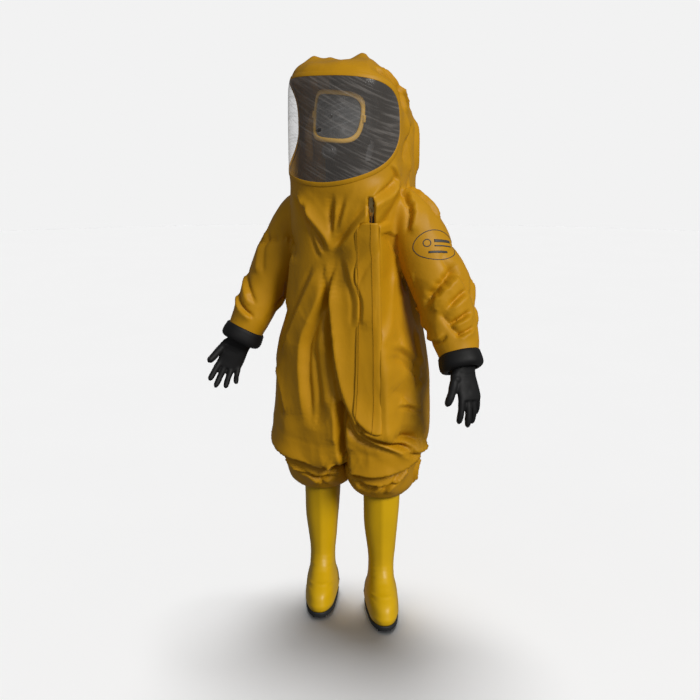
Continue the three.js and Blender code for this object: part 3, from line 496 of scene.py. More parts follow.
# Folds of the sleeves: marks of share along the arm and angle about it, from its front.
ARM_FOLDS = {
    "left": [
        ([(0.10, 75), (0.20, 40), (0.30, 5)], 0.014, 0.018, dict(crease=0.012, side=1)),
        ([(0.10, 110), (0.18, 96), (0.27, 100)], 0.011, 0.015, dict(crease=0.010)),
        ([(0.56, 84), (0.60, 55), (0.67, 20), (0.76, -25)], 0.018, 0.026,
         dict(crease=0.024, side=1, ends=0.3)),
        ([(0.69, 80), (0.74, 52), (0.80, 20)], 0.009, 0.018, dict(crease=0.018, side=1, ends=0.35)),
        ([(0.80, 82), (0.84, 52), (0.865, 12)], 0.011, 0.014, dict(crease=0.022, side=1, ends=0.3)),
        ([(0.88, 84), (0.91, 54), (0.925, 20)], 0.008, 0.010, dict(crease=0.014, side=1, ends=0.3)),
        ([(0.60, 120), (0.72, 108), (0.86, 118)], 0.008, 0.020, dict(crease=0.006)),
        ([(0.76, 0), (0.86, 18), (0.93, 46)], -0.014, 0.013, dict()),
        ([(0.84, -80), (0.89, -30), (0.87, 0)], 0.010, 0.012, dict(crease=0.010)),
        ([(0.58, -60), (0.70, -85), (0.82, -60)], 0.012, 0.018, dict(crease=0.012)),
        ([(0.44, 150), (0.56, 172), (0.68, 150)], 0.012, 0.018, dict(crease=0.010)),
        ([(0.72, 170), (0.80, 140), (0.87, 160)], 0.011, 0.014, dict(crease=0.010)),
        ([(0.20, 160), (0.34, 140), (0.46, 150)], 0.011, 0.018, dict(crease=0.008)),
    ],
    "right": [
        ([(0.34, 60), (0.48, 34), (0.62, 12)], 0.008, 0.020, dict(crease=0.006, side=-1)),
        ([(0.66, 80), (0.76, 36), (0.84, -10)], 0.010, 0.018, dict(crease=0.010, side=-1)),
        ([(0.80, 70), (0.88, 20), (0.91, -30)], 0.012, 0.013, dict(crease=0.012, side=-1, push=0.003)),
        ([(0.44, 120), (0.58, 150), (0.70, 130)], 0.012, 0.018, dict(crease=0.010)),
        ([(0.24, 150), (0.34, 170), (0.46, 160)], 0.011, 0.018, dict(crease=0.008)),
        ([(0.74, 150), (0.82, 120), (0.88, 140)], 0.011, 0.014, dict(crease=0.010)),
        ([(0.56, -80), (0.68, -110), (0.80, -90)], 0.011, 0.016, dict(crease=0.010)),
    ],
}


def crumple(co, no):
    """Small wrinkles of stiff coated cloth: soft billows, and sharper crests in slanted bands."""
    warp = 0.03 * np.stack([lattice_noise(co / 0.11, k) for k in (3, 4, 5)], axis=1)
    at = co + warp
    billow = lattice_noise(at / [0.13, 0.13, 0.20], 11) * 0.0045
    slanted = at @ np.array([[0.9, 0.0, 0.43], [0.0, 1.0, 0.0], [-0.43, 0.0, 0.9]])
    crests = ridged(slanted / [0.090, 0.090, 0.16], 21) * 0.0036
    fine = ridged(at / [0.036, 0.036, 0.060], 31) * 0.0010
    patchy = 0.35 + 0.65 * smoothstep(-0.4, 0.5, lattice_noise(at / 0.16, 41))
    return no * (billow + (crests + fine) * patchy)[:, None]


def pinch_crown(co):
    """The hood's crown is drawn in on the wearer's left, and stands up in two peaks."""
    turn = math.radians(CROWN["side"])
    side = np.array([math.cos(turn), math.sin(turn), 0.0])
    beyond = np.maximum(0, co @ side - CROWN["pivot"])
    keep = np.interp(co[:, 2], *np.array(CROWN["keep"]).T)
    move = -(beyond * (1 - keep))[:, None] * side
    top = smoothstep(1.74, 1.79, co[:, 2])
    for x, y, rise, radius in CROWN["peaks"]:
        away = np.linalg.norm(co[:, :2] - [x, y], axis=1) / radius
        move[:, 2] += rise * np.exp(-away ** 1.5) * top
    return move


# The crown's drawn-in side, as a turn from the wearer's left; what is kept of it by height; its peaks.
CROWN = {"side": 23, "pivot": 0.05,
         "keep": [(1.62, 1.0), (1.668, 0.93), (1.734, 0.72), (1.80, 0.40), (1.83, 0.34)],
         "peaks": [(0.036, 0.010, 0.024, 0.034), (-0.104, -0.044, 0.017, 0.026),
                   (-0.050, -0.035, 0.009, 0.022), (0.010, -0.030, -0.006, 0.030)]}


def station(z):
    """Half width, depth in front and depth behind of the torso and hood at height z."""
    return [np.interp(z, BODY_LINE[:, 0], BODY_LINE[:, k]) for k in (1, 2, 3)]


def hood_point(turn, z, lift=0.0):
    """Points on the smooth hood at turns from straight ahead and heights."""
    width, front, behind = station(z)
    s, c = np.sin(turn), np.cos(turn)
    depth = np.where(c > 0, front, behind)
    reach = (np.abs(s / width) ** BODY_POWER + np.abs(c / depth) ** BODY_POWER) ** (-1 / BODY_POWER)
    reach = reach + lift
    return np.stack([reach * s, -reach * c, np.broadcast_to(z, np.shape(turn))], axis=-1)


def visor_value(co):
    """Below 1 inside the visor's outline, 1 on it, and more outside."""
    turn = np.arctan2(co[:, 0], -co[:, 1])
    u = (turn - math.radians(VISOR["turn"])) / math.radians(VISOR["half_turn"])
    w = co[:, 2] - VISOR["middle"]
    up = w > 0
    w = np.abs(w) / np.where(up, VISOR["rise"], VISOR["drop"])
    power = np.where(up, VISOR["upper"], VISOR["lower"])
    return (np.abs(u) ** power + w ** power) ** (1 / power)


def visor_rim(grow, lift, share=1.0, count=128):
    """The visor's outline on the hood, grown by a margin and lifted, or a share of it."""
    t = np.linspace(0, 2 * np.pi, count, endpoint=False)
    s, c = np.sin(t), np.cos(t)
    power = np.where(s > 0, VISOR["upper"], VISOR["lower"])
    half = np.where(s > 0, VISOR["rise"], VISOR["drop"]) + grow
    reach = (np.abs(c) ** power + np.abs(s) ** power) ** (-1 / power) * share
    half_turn = math.radians(VISOR["half_turn"]) + grow / VISOR["radius"]
    turn = math.radians(VISOR["turn"]) + half_turn * reach * c
    return hood_point(turn, VISOR["middle"] + half * reach * s, lift)


def window(v, low, high, soft):
    """1 between two values, falling to 0 over a soft distance outside them."""
    return smoothstep(low - soft, low, v) * smoothstep(high + soft, high, v)


def placket(co):
    """Raises the cloth round the storm flap level with it, and lays the cloth under it behind the zip."""
    low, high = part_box("storm_flap")
    low, high = low - AXIS, high - AXIS
    x, y, z = co.T
    under = window(x, low.x + 0.018, high.x - 0.017, 0.009) * window(z, low.z + 0.014, high.z - 0.010, 0.006)
    slot = window(x, ZIP["x"] - 0.0075, ZIP["x"] + 0.0075, 0.005)
    slot = slot * window(z, high.z - 0.02, ZIP["high"] + 0.018, 0.005)
    inside = np.maximum(under, slot) * (y < 0)
    level = low.y + 0.0022
    about = window(x, 0.084, 0.192, 0.060) * window(z, 0.690, 1.405, 0.070) * smoothstep(-0.085, -0.125, y)
    raised = np.minimum(0, level - y) * about * (1 - inside)
    pulled = (ZIP["back"] - y) * inside
    return np.stack([np.zeros(len(co)), raised + pulled, np.zeros(len(co))], axis=1), inside, about


def press_flat(co, centre, axis, inner, outer):
    """Moves cloth near a centre onto the plane through it, for a valve to be welded to."""
    off = co - centre
    height = off @ axis
    aside = np.linalg.norm(off - height[:, None] * axis, axis=1)
    share = smoothstep(outer, inner, aside) * (np.abs(height) < 0.06)
    return -(height * share)[:, None] * axis, share


def fold_suit(suit):
    """Folds, wrinkles and pressed areas, all worked out on the smooth shape and added together."""
    co = coords(suit)
    cloth = {"co": co, "no": normals(suit), "move": np.zeros_like(co)}
    tree = BVHTree.FromObject(suit, bpy.context.evaluated_depsgraph_get())
    points = flap_grid().reshape(-1, 3)
    flap = {"co": points, "no": np.tile([0.0, -1.0, 0.0], (len(points), 1)), "move": np.zeros_like(points)}
    for marks, height, width, more in BODY_FOLDS:
        line = body_line(tree, marks)
        stroke(cloth, line, height, width, **more)
        stroke(flap, line, height, width, **more)
    flap["move"] = (flap["move"] + crumple(points, flap["no"])) * (1 - BESIDE_CALM)
    for side, folds in ARM_FOLDS.items():
        for marks, height, width, more in folds:
            stroke(cloth, arm_line(tree, side, marks), height, width, **more)
    cloth["move"] += crumple(co, cloth["no"]) + pinch_crown(co)
    from_badge = np.linalg.norm(co - badge_place(tree), axis=1)
    cloth["move"] *= (1 - BADGE_CALM * np.exp(-(from_badge / 0.075) ** 4))[:, None]
    still = smoothstep(1.02, 1.22, visor_value(co)) + (co[:, 2] < 1.40) + (co[:, 1] > 0.05)
    hold = np.clip(still, 0, 1) * smoothstep(HEM_Z - 0.004, HEM_Z + 0.030, co[:, 2])
    for side, _ in SIDES:
        end = ARM_PATHS[side][-1]
        hold *= smoothstep(0.055, 0.085, np.linalg.norm(co - end, axis=1))
    onto_zip, zip_share, beside = placket(co)
    move = cloth["move"] * (hold * (1 - 0.93 * zip_share) * (1 - BESIDE_CALM * beside))[:, None] + onto_zip
    for centre, axis in VALVES.values():
        pressed, _ = press_flat(co + move, centre + axis * VALVE["under"], axis, 0.040, 0.085)
        move += pressed
    return co, co + move, flap["move"]


# How much smaller folds are round the badge, and on the flap and beside it.
BADGE_CALM = 0.75
BESIDE_CALM = 0.40


def badge_place(tree):
    return on_arm(tree, "left", *BADGE["place"])[0]


# ---------- materials ----------
def nodes_of(name):
    made = bpy.data.materials.new(name)
    made.use_nodes = True
    tree = made.node_tree
    return made, tree, tree.nodes["Principled BSDF"]


def feed(tree, socket, kind, output=0, **inputs):
    """Adds a node of a kind, sets its inputs and settings by name, and links it to a socket."""
    node = tree.nodes.new(kind)
    for key, value in inputs.items():
        plug = next((s for s in node.inputs if s.name == key and s.enabled), None)
        if plug is None:
            setattr(node, key, value)
        elif hasattr(value, "is_linked") or isinstance(value, bpy.types.NodeSocket):
            tree.links.new(value, plug)
        else:
            plug.default_value = value
    if socket is not None:
        tree.links.new(node.outputs[output], socket)
    return node


def noise(tree, scale, detail=3.0, stretch=(1, 1, 1), spin=0.0):
    """Noise on the object's own coordinates, turned about Y by spin degrees and then stretched."""
    place = tree.nodes.new("ShaderNodeTexCoord").outputs["Object"]
    turned = feed(tree, None, "ShaderNodeMapping", Vector=place, Rotation=(0, math.radians(spin), 0))
    spread = feed(tree, None, "ShaderNodeMapping", Vector=turned.outputs[0], Scale=stretch)
    made = feed(tree, None, "ShaderNodeTexNoise", Vector=spread.outputs[0], Scale=scale, Detail=detail)
    return made.outputs["Fac"]


def ramp(tree, factor, stops):
    node = tree.nodes.new("ShaderNodeValToRGB")
    tree.links.new(factor, node.inputs[0])
    elements = node.color_ramp.elements
    while len(elements) < len(stops):
        elements.new(0.5)
    for element, (at, color) in zip(elements, stops):
        element.position = at
        element.color = (*color, 1)
    return node.outputs[0]


def between(tree, factor, low, high):
    made = feed(tree, None, "ShaderNodeMapRange", Value=factor)
    made.inputs["To Min"].default_value = low
    made.inputs["To Max"].default_value = high
    return made.outputs[0]


def bumps(tree, shader, layers):
    """Chains bump layers of (height socket, strength, distance in metres) onto a shader's normal."""
    last = None
    for height, strength, distance in layers:
        node = feed(tree, None, "ShaderNodeBump", Height=height, Strength=strength, Distance=distance)
        if last is not None:
            tree.links.new(last, node.inputs["Normal"])
        last = node.outputs[0]
    tree.links.new(last, shader.inputs["Normal"])


def shades(color, spread):
    return [tuple(c * k for c in color) for k in (1 - spread, 1.0, 1 + spread)]


def surface(name, color, rough, spread=0.10, patch=14.0, grain=600.0, grain_depth=0.0002,
            lumps=40.0, lump_depth=0.0006, metal=0.0, sheen=0.0, specular=0.5, coat=0.0):
    """A material with patchy colour, uneven gloss, lumps and fine grain."""
    made, tree, shader = nodes_of(name)
    dark, plain, light = shades(color, spread)
    tree.links.new(ramp(tree, noise(tree, patch, 5), [(0.30, dark), (0.5, plain), (0.70, light)]),
                   shader.inputs["Base Color"])
    tree.links.new(between(tree, noise(tree, patch * 2.7, 4), rough - 0.07, rough + 0.07),
                   shader.inputs["Roughness"])
    bumps(tree, shader, [(noise(tree, lumps, 4), 0.5, lump_depth), (noise(tree, grain, 2), 0.4, grain_depth)])
    shader.inputs["Metallic"].default_value = metal
    shader.inputs["Sheen Weight"].default_value = sheen
    shader.inputs["Specular IOR Level"].default_value = specular
    shader.inputs["Coat Weight"].default_value = coat
    return made


def cloth_material(name, color, rough):
    """Coated cloth: a fine weave under the coating, small creases, and scuffed patches."""
    made, tree, shader = nodes_of(name)
    dark, plain, light = shades(color, 0.09)
    tree.links.new(ramp(tree, noise(tree, 7, 6), [(0.30, dark), (0.5, plain), (0.72, light)]),
                   shader.inputs["Base Color"])
    tree.links.new(between(tree, noise(tree, 26, 5), rough - 0.06, rough + 0.10), shader.inputs["Roughness"])
    place = tree.nodes.new("ShaderNodeTexCoord").outputs["Object"]
    weave = feed(tree, None, "ShaderNodeTexWave", Vector=place, Scale=420.0, bands_direction="Z")
    creases = feed(tree, None, "ShaderNodeTexVoronoi", Vector=place, Scale=34.0, feature="DISTANCE_TO_EDGE")
    crease = between(tree, creases.outputs["Distance"], 0.0, 1.0)
    crease.node.inputs["From Max"].default_value = 0.06
    bumps(tree, shader, [(noise(tree, 30, 6, (1, 1, 0.6)), 0.55, 0.0024), (noise(tree, 95, 4), 0.35, 0.0007),
                         (crease, 0.10, 0.0006), (weave.outputs["Fac"], 0.12, 0.0001)])
    shader.inputs["Specular IOR Level"].default_value = 0.24
    return made


def sheet_material(name, tint, clear, glare_haze, rough, spin=-28.0):
    """A clear bent sheet: mostly see-through, with slanted pale streaks of haze that also paint its glare,
    and painted reflection that makes it paler and less clear edge on.
    """
    made, tree, shader = nodes_of(name)
    # painted glare: slanted streaks of noise raise the alpha of the pale tint
    steps = [(0.50, (0, 0, 0)), (0.60, (0.5,) * 3), (0.72, (1, 1, 1))]
    fine = ramp(tree, noise(tree, 6, 9, (1.5, 1.5, 26), spin), steps)
    # painted reflection: the sheet turns more opaque towards grazing angles
    facing = feed(tree, None, "ShaderNodeLayerWeight", Blend=0.5).outputs["Facing"]
    edge = feed(tree, None, "ShaderNodeMath", operation="POWER")
    tree.links.new(facing, edge.inputs[0])
    edge.inputs[1].default_value = 3.5
    streaks_and_glare = feed(tree, None, "ShaderNodeMath", operation="MULTIPLY_ADD")
    tree.links.new(fine, streaks_and_glare.inputs[0])
    streaks_and_glare.inputs[1].default_value = glare_haze
    streaks_and_glare.inputs[2].default_value = clear
    total = feed(tree, shader.inputs["Alpha"], "ShaderNodeMath", operation="MULTIPLY_ADD", use_clamp=True)
    tree.links.new(edge.outputs[0], total.inputs[0])
    total.inputs[1].default_value = 0.55
    tree.links.new(streaks_and_glare.outputs[0], total.inputs[2])
    # the pale tint, shown where streaks and edges raise the alpha, is painted glare and reflection
    dark, plain, light = shades(tint, 0.15)
    tree.links.new(ramp(tree, noise(tree, 5, 4), [(0.3, dark), (0.5, plain), (0.7, light)]),
                   shader.inputs["Base Color"])
    tree.links.new(between(tree, noise(tree, 12, 3), rough * 0.7, rough * 1.4), shader.inputs["Roughness"])
    waves = noise(tree, 7, 6, (1, 1, 9), spin)
    bumps(tree, shader, [(waves, 0.6, 0.004), (noise(tree, 160, 3), 0.15, 0.0002)])
    return made


M = {
    "cloth": cloth_material("coated_cloth", (0.515, 0.252, 0.0040), 0.50),
    "trim": cloth_material("seam_trim", (0.520, 0.256, 0.0045), 0.48),
    "badge": surface("badge_ink", (0.05, 0.045, 0.04), 0.6, lump_depth=0.0002),
    # visor: its pale tint, streaks and edge-on opacity paint its glare and reflection
    "visor": sheet_material("visor_sheet", (0.52, 0.48, 0.45), 0.13, 0.19, 0.18),
    # painted reflection: the lens's grey tint and haze stand in for the grey reflection on it
    "lens": sheet_material("mask_lens", (0.28, 0.29, 0.30), 0.30, 0.25, 0.12, 20.0),
    "glove": surface("glove_rubber", (0.0075, 0.0075, 0.0080), 0.60, lumps=70, lump_depth=0.0008,
                     specular=0.25),
    "boot": surface("boot_yellow", (0.62, 0.370, 0.0020), 0.40, 0.06, 6, 500, 0.0001, 22, 0.0010,
                    specular=0.3),
    "sole": surface("boot_sole", (0.010, 0.0115, 0.013), 0.68, grain_depth=0.0004),
    "ring": surface("ring_plastic", (0.022, 0.023, 0.025), 0.42),
    "tape": surface("zip_tape", (0.020, 0.020, 0.021), 0.85, grain=900, grain_depth=0.0004, sheen=0.3),
    "brass": surface("zip_metal", (0.50, 0.36, 0.15), 0.32, 0.15, 60, 900, 0.0001, 120, 0.0002, metal=1.0),
    "steel": surface("steel", (0.50, 0.50, 0.50), 0.33, 0.10, 40, 900, 0.0001, 90, 0.0002, metal=1.0),
    "dark_steel": surface("dark_steel", (0.06, 0.06, 0.062), 0.30, 0.10, 40, 900, 0.0001, 90, 0.0002,
                          metal=0.8),
    "rubber": surface("mask_rubber", (0.014, 0.014, 0.015), 0.48, lumps=50, lump_depth=0.0006),
    "frame": surface("mask_frame", (0.60, 0.345, 0.045), 0.42, 0.06, 20, 700, 0.0001, 60, 0.0003),
    "webbing": surface("webbing", (0.018, 0.018, 0.020), 0.88, grain=700, grain_depth=0.0006, sheen=0.4),
    "cap": surface("head_cover", (0.040, 0.041, 0.044), 0.75, 0.25, 20, 500, 0.0005, 60, 0.0020, sheen=0.4),
    # painted shade: a near-black material for the sheet inside the hood
    "inside_shade": surface("hood_inside_shade", (0.050, 0.050, 0.053), 0.62, 0.25, 20, 500, 0.0004, 60, 0.0020, sheen=0.5),
    "lining": surface("lining", (0.07, 0.07, 0.075), 0.92, 0.15, grain=500, grain_depth=0.0006, sheen=0.3),
    "black": surface("valve_black", (0.020, 0.020, 0.022), 0.45),
}


# ---------- pieces ----------
def settle(obj, mat, body=None, replaces=()):
    """Moves a piece from the torso's axis into the frame, and gives it its material and body."""
    obj.data.transform(Matrix.Translation(AXIS))
    obj.data.materials.clear()
    obj.data.materials.append(M[mat])
    if replaces:
        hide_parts(*replaces)
    if body:
        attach(obj, body)
    return obj


def soften(obj, width, segments=2):
    bevel = obj.modifiers.new("bevel", "BEVEL")
    bevel.width = width
    bevel.segments = segments
    bevel.limit_method = "ANGLE"
    bevel.angle_limit = math.radians(35)
    return obj


def thicken(obj, depth, offset=-1.0):
    solid = obj.modifiers.new("thickness", "SOLIDIFY")
    solid.thickness = depth
    solid.offset = offset
    return bake(obj)


def smooth_union(name, shells, voxel, rounds, weight=0.5):
    """One skin round several closed shells, with soft inner corners."""
    faces, start = [], 0
    for v, f in shells:
        faces += [tuple(i + start for i in face) for face in f]
        start += len(v)
    obj = outward(mesh_object(name, np.concatenate([v for v, _ in shells]), faces))
    remesh = obj.modifiers.new("even", "REMESH")
    remesh.mode = "VOXEL"
    remesh.voxel_size = voxel
    remesh.use_smooth_shade = True
    bake(obj)
    set_coords(obj, relax(coords(obj), edges_of(obj), rounds, weight))
    obj.data.polygons.foreach_set("use_smooth", [True] * len(obj.data.polygons))
    return obj


def submesh(obj, name, keep, co, no):
    """A piece from the suit's kept faces, shaded by the whole suit's normals."""
    count = len(obj.data.polygons)
    loops = np.empty(len(obj.data.loops), int)
    obj.data.loops.foreach_get("vertex_index", loops)
    starts = np.empty(count, int)
    sizes = np.empty(count, int)
    obj.data.polygons.foreach_get("loop_start", starts)
    obj.data.polygons.foreach_get("loop_total", sizes)
    faces = [loops[s:s + n] for s, n in zip(starts[keep], sizes[keep])]
    used = np.unique(np.concatenate(faces))
    index = np.full(len(co), -1)
    index[used] = np.arange(len(used))
    piece = mesh_object(name, co[used], [index[f] for f in faces])
    piece.data.normals_split_custom_set_from_vertices([tuple(n) for n in no[used]])
    return piece


def face_means(obj, values):
    """The mean over each face's corners of a value per vertex."""
    loops = np.empty(len(obj.data.loops), int)
    obj.data.loops.foreach_get("vertex_index", loops)
    sizes = np.empty(len(obj.data.polygons), int)
    obj.data.polygons.foreach_get("loop_total", sizes)
    owner = np.repeat(np.arange(len(sizes)), sizes)
    return np.bincount(owner, values[loops], len(sizes)) / sizes


def body_value(co):
    """Below 1 inside the torso's or hood's smooth form."""
    width, front, behind = station(co[:, 2])
    depth = np.where(co[:, 1] < 0, front, behind)
    across = np.abs(co[:, 0] / width) ** BODY_POWER
    along = np.abs(co[:, 1] / depth) ** BODY_POWER
    return (across + along) ** (1 / BODY_POWER)


def arm_share(co, side):
    """The share of the arm's length nearest to each point, and the distance from it."""
    path = ARM_PATHS[side]
    away = np.stack([np.linalg.norm(co - p, axis=1) for p in path], axis=1)
    return away.argmin(1) / (len(path) - 1), away.min(1)


def split_suit(suit, smooth, co):
    """Cuts the folded suit into the pieces that move, and the visor's opening out of it."""
    set_coords(suit, co)
    no = normals(suit)
    height = face_means(suit, smooth[:, 2])
    left = face_means(suit, smooth[:, 0]) > 0
    outline = face_means(suit, visor_value(smooth))
    ahead = face_means(suit, smooth[:, 1]) < 0.06
    gone = (outline < 1.0) & (height > 1.40) & ahead
    gone |= height < HEM_Z
    part = np.where(height < LEG_SPLIT, 4, 0)
    outside = face_means(suit, body_value(smooth)) > 1.03
    for side, sign in SIDES:
        share, away = arm_share(smooth, side)
        share = face_means(suit, share)
        on_side = left == (sign > 0)
        arm = on_side & outside & (face_means(suit, away) < 0.12) & (height > 0.85) & (share > 0.1)
        part[arm] = np.where(share[arm] < ARM_SPLIT, 1, 2)
        gone |= arm & (share > 0.985)
    pieces = {}
    names = {0: "suit_body", 1: "sleeve_top", 2: "sleeve_low", 4: "leg_low"}
    for code, name in names.items():
        for side, sign in ((("", 0),) if code == 0 else SIDES):
            keep = (part == code) & ~gone
            if sign:
                keep &= left == (sign > 0)
            full = f"{name}_{side}" if side else name
            pieces[full] = submesh(suit, full, np.where(keep)[0], co, no)
    return pieces


LEG_SPLIT = 0.575
ARM_SPLIT = 0.515


def tidy_visor_edge(suit, smooth, co):
    """Moves the cloth beside the visor's opening exactly onto its outline."""
    value = visor_value(smooth)
    front = (smooth[:, 2] > 1.40) & (smooth[:, 1] < 0.06)
    pairs = edges_of(suit)
    inside = value < 1.0
    crossing = inside[pairs[:, 0]] != inside[pairs[:, 1]]
    edge = np.zeros(len(co), bool)
    edge[pairs[crossing].ravel()] = True
    edge &= front
    turn = np.arctan2(smooth[edge, 0], -smooth[edge, 1])
    mid = math.radians(VISOR["turn"])
    u = (turn - mid) / value[edge]
    w = (smooth[edge, 2] - VISOR["middle"]) / value[edge]
    co[edge] = hood_point(mid + u, VISOR["middle"] + w, 0.0)
    return co


# ---------- the suit ----------
def make_suit():
    suit = base_shape()
    smooth, folded, flap_move = fold_suit(suit)
    folded = tidy_visor_edge(suit, smooth, folded)
    pieces = split_suit(suit, smooth, folded)
    bpy.data.objects.remove(suit)
    return pieces, flap_move


def hang_suit(pieces):
    """Gives each cloth piece its material and hides the CAD nodes it replaces; only the torso piece is given
    a body to follow.
    """
    trunk = ["torso_front_panel", "torso_back_panel", "crotch_gusset", "hood_shell",
             "leg_upper_left", "leg_upper_right"]
    settle(pieces["suit_body"], "cloth", "torso", trunk)
    for side, sign in SIDES:
        top = settle(pieces[f"sleeve_top_{side}"], "cloth", None, [f"sleeve_upper_{side}"])
        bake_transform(top)
        low = settle(pieces[f"sleeve_low_{side}"], "cloth", None, [f"sleeve_lower_{side}"])
        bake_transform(low)
        leg = settle(pieces[f"leg_low_{side}"], "cloth", None, [f"leg_hem_{side}"])
        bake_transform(leg)


# ---------- visor ----------
def visor():
    rings = [visor_rim(-0.001, 0.0012, share) for share in np.linspace(0.04, 1.0, 34)]
    verts, faces = skin(rings, closed=False)
    faces.append(tuple(range(128)))
    sheet = face_forward(mesh_object("visor_sheet", verts, faces))
    settle(sheet, "visor", "torso", ["visor"])
    section = [(0.0100, -0.0010), (0.0100, 0.0006), (0.0080, 0.0016), (-0.0025, 0.0018), (-0.0040, 0.0014),
               (-0.0040, -0.0010)]
    rings = [visor_rim(grow, lift) for grow, lift in section]
    trim = mesh_object("visor_trim", *skin(rings, looped=True))
    settle(outward(trim), "trim", "torso", ["visor_seal"])


def face_forward(sheet):
    """Turns an open sheet's faces towards the front."""
    if sum(f.normal.y * f.area for f in sheet.data.polygons) > 0:
        sheet.data.flip_normals()
    return sheet


# The sheet of painted shade inside the hood: the turns and heights it spans, its offset, and its grid.
INSIDE_SHADE = {"from": 98, "to": 226, "low": 1.425, "high": 1.790, "off": -0.014,
         "columns": 90, "rows": 60}


def hood_inside_shade():
    """A dark loose sheet against the hood's inside, behind the head and on the wearer's left: painted shade
    that darkens the hood's inside, standing in for its shade and for the wearer's dark head, which is not
    modelled.
    """
    wide = INSIDE_SHADE["columns"]
    turns = np.radians(np.linspace(INSIDE_SHADE["from"], INSIDE_SHADE["to"], wide))
    rows = np.linspace(INSIDE_SHADE["low"], INSIDE_SHADE["high"], INSIDE_SHADE["rows"])
    keep = np.interp(rows, *np.array(CROWN["keep"]).T)
    grid = np.array([hood_point(turns, z, INSIDE_SHADE["off"]) for z in rows])
    turn = math.radians(CROWN["side"])
    side = np.array([math.cos(turn), math.sin(turn), 0.0])
    flat = grid.reshape(-1, 3)
    beyond = np.maximum(0, flat @ side - CROWN["pivot"])
    flat = flat - (beyond * (1 - np.repeat(keep, wide)))[:, None] * side
    inward = unit(flat * [-1, -1, 0])
    loose = 0.006 * ridged(flat / [0.05, 0.05, 0.09], 91) + 0.004 * lattice_noise(flat / 0.04, 93)
    flat = flat + inward * (0.008 + loose)[:, None]
    faces = [(r * wide + i, r * wide + i + 1, r * wide + i + wide + 1, r * wide + i + wide)
             for r in range(INSIDE_SHADE["rows"] - 1) for i in range(wide - 1)]
    inside_shade = thicken(mesh_object("hood_inside_shade_sheet", flat, faces), 0.0012, 0)
    settle(inside_shade, "inside_shade", "torso")


# ---------- zip and storm flap ----------
def block(x0, x1, y0, y1, z0, z1):
    verts = [(x, y, z) for x in (x0, x1) for y in (y0, y1) for z in (z0, z1)]
    faces = [(0, 1, 3, 2), (4, 6, 7, 5), (0, 4, 5, 1), (2, 3, 7, 6), (0, 2, 6, 4), (1, 5, 7, 3)]
    return verts, faces


def joined(name, shells, smooth=False):
    verts, faces = [], []
    for v, f in shells:
        faces += [tuple(i + len(verts) for i in face) for face in f]
        verts += [tuple(p) for p in v]
    return outward(mesh_object(name, verts, faces, smooth))


def zip_sides():
    """A woven tape with a corded edge and a row of teeth, for each side of the zip."""
    back, front = ZIP["back"], ZIP["back"] - ZIP["sheet"]
    rows = np.arange(ZIP["low"], ZIP["high"] + 0.001, 0.012)
    for name, sign in (("inner", -1), ("outer", 1)):
        section = [(0.0022, 0.0), (0.0022, 1.5), (0.0038, 1.6), (0.0048, 1.0), (ZIP["tape"], 0.9),
                   (ZIP["tape"], 0.0)]
        rings = [[(ZIP["x"] + sign * x, back - ZIP["sheet"] * y, z) for x, y in section] for z in rows]
        tape = mesh_object(f"zip_tape_{name}_cloth", *skin([np.array(r) for r in rings]), smooth=False)
        settle(outward(tape), "tape", "torso", [f"zip_tape_{name}"])
        shells = []
        start = ZIP["low"] + 0.003 + (ZIP_PITCH / 2 if sign > 0 else 0)
        for z in np.arange(start, ZIP["high"] - 0.004, ZIP_PITCH):
            x0, x1 = sorted((ZIP["x"] + sign * 0.0034, ZIP["x"] - sign * 0.0012))
            shells.append(block(x0, x1, front - 0.0009, front + 0.0016, z, z + ZIP_PITCH * 0.44))
        teeth = soften(joined(f"zip_teeth_{name}", shells), 0.0003, 1)
        settle(teeth, "brass", "torso")


ZIP_PITCH = 0.0044


def flap_section(share_up):
    """The storm flap's section from its sewn edge to its free edge, as (x, y) pairs."""
    low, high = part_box("storm_flap")
    front = low.y - AXIS.y
    free = low.x - AXIS.x + 0.002
    sewn = (high.x - AXIS.x) - 0.020 * share_up - 0.001
    across = sewn - free
    return [(sewn + 0.004, front + 0.012), (sewn + 0.0035, front + 0.008), (sewn + 0.001, front + 0.0042),
            (sewn - 0.005, front + 0.0016), (sewn - 0.014, front + 0.0008),
            (sewn - across * 0.35, front + 0.0006),
            (sewn - across * 0.55, front + 0.0004), (sewn - across * 0.75, front + 0.0006),
            (free + 0.010, front + 0.0008), (free + 0.003, front + 0.0012), (free - 0.001, front + 0.0022)]


FLAP_ROWS = 110
FLAP_COLUMNS = 34


def flap_grid():
    """The storm flap's plain surface, as rows of points from its sewn edge to its free edge."""
    low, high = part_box("storm_flap")
    rows = np.linspace(low.z, high.z, FLAP_ROWS)
    shares = (rows - low.z) / (high.z - low.z)
    return np.array([spline([(x, y, z) for x, y in flap_section(share)], FLAP_COLUMNS)
                     for z, share in zip(rows, shares)])


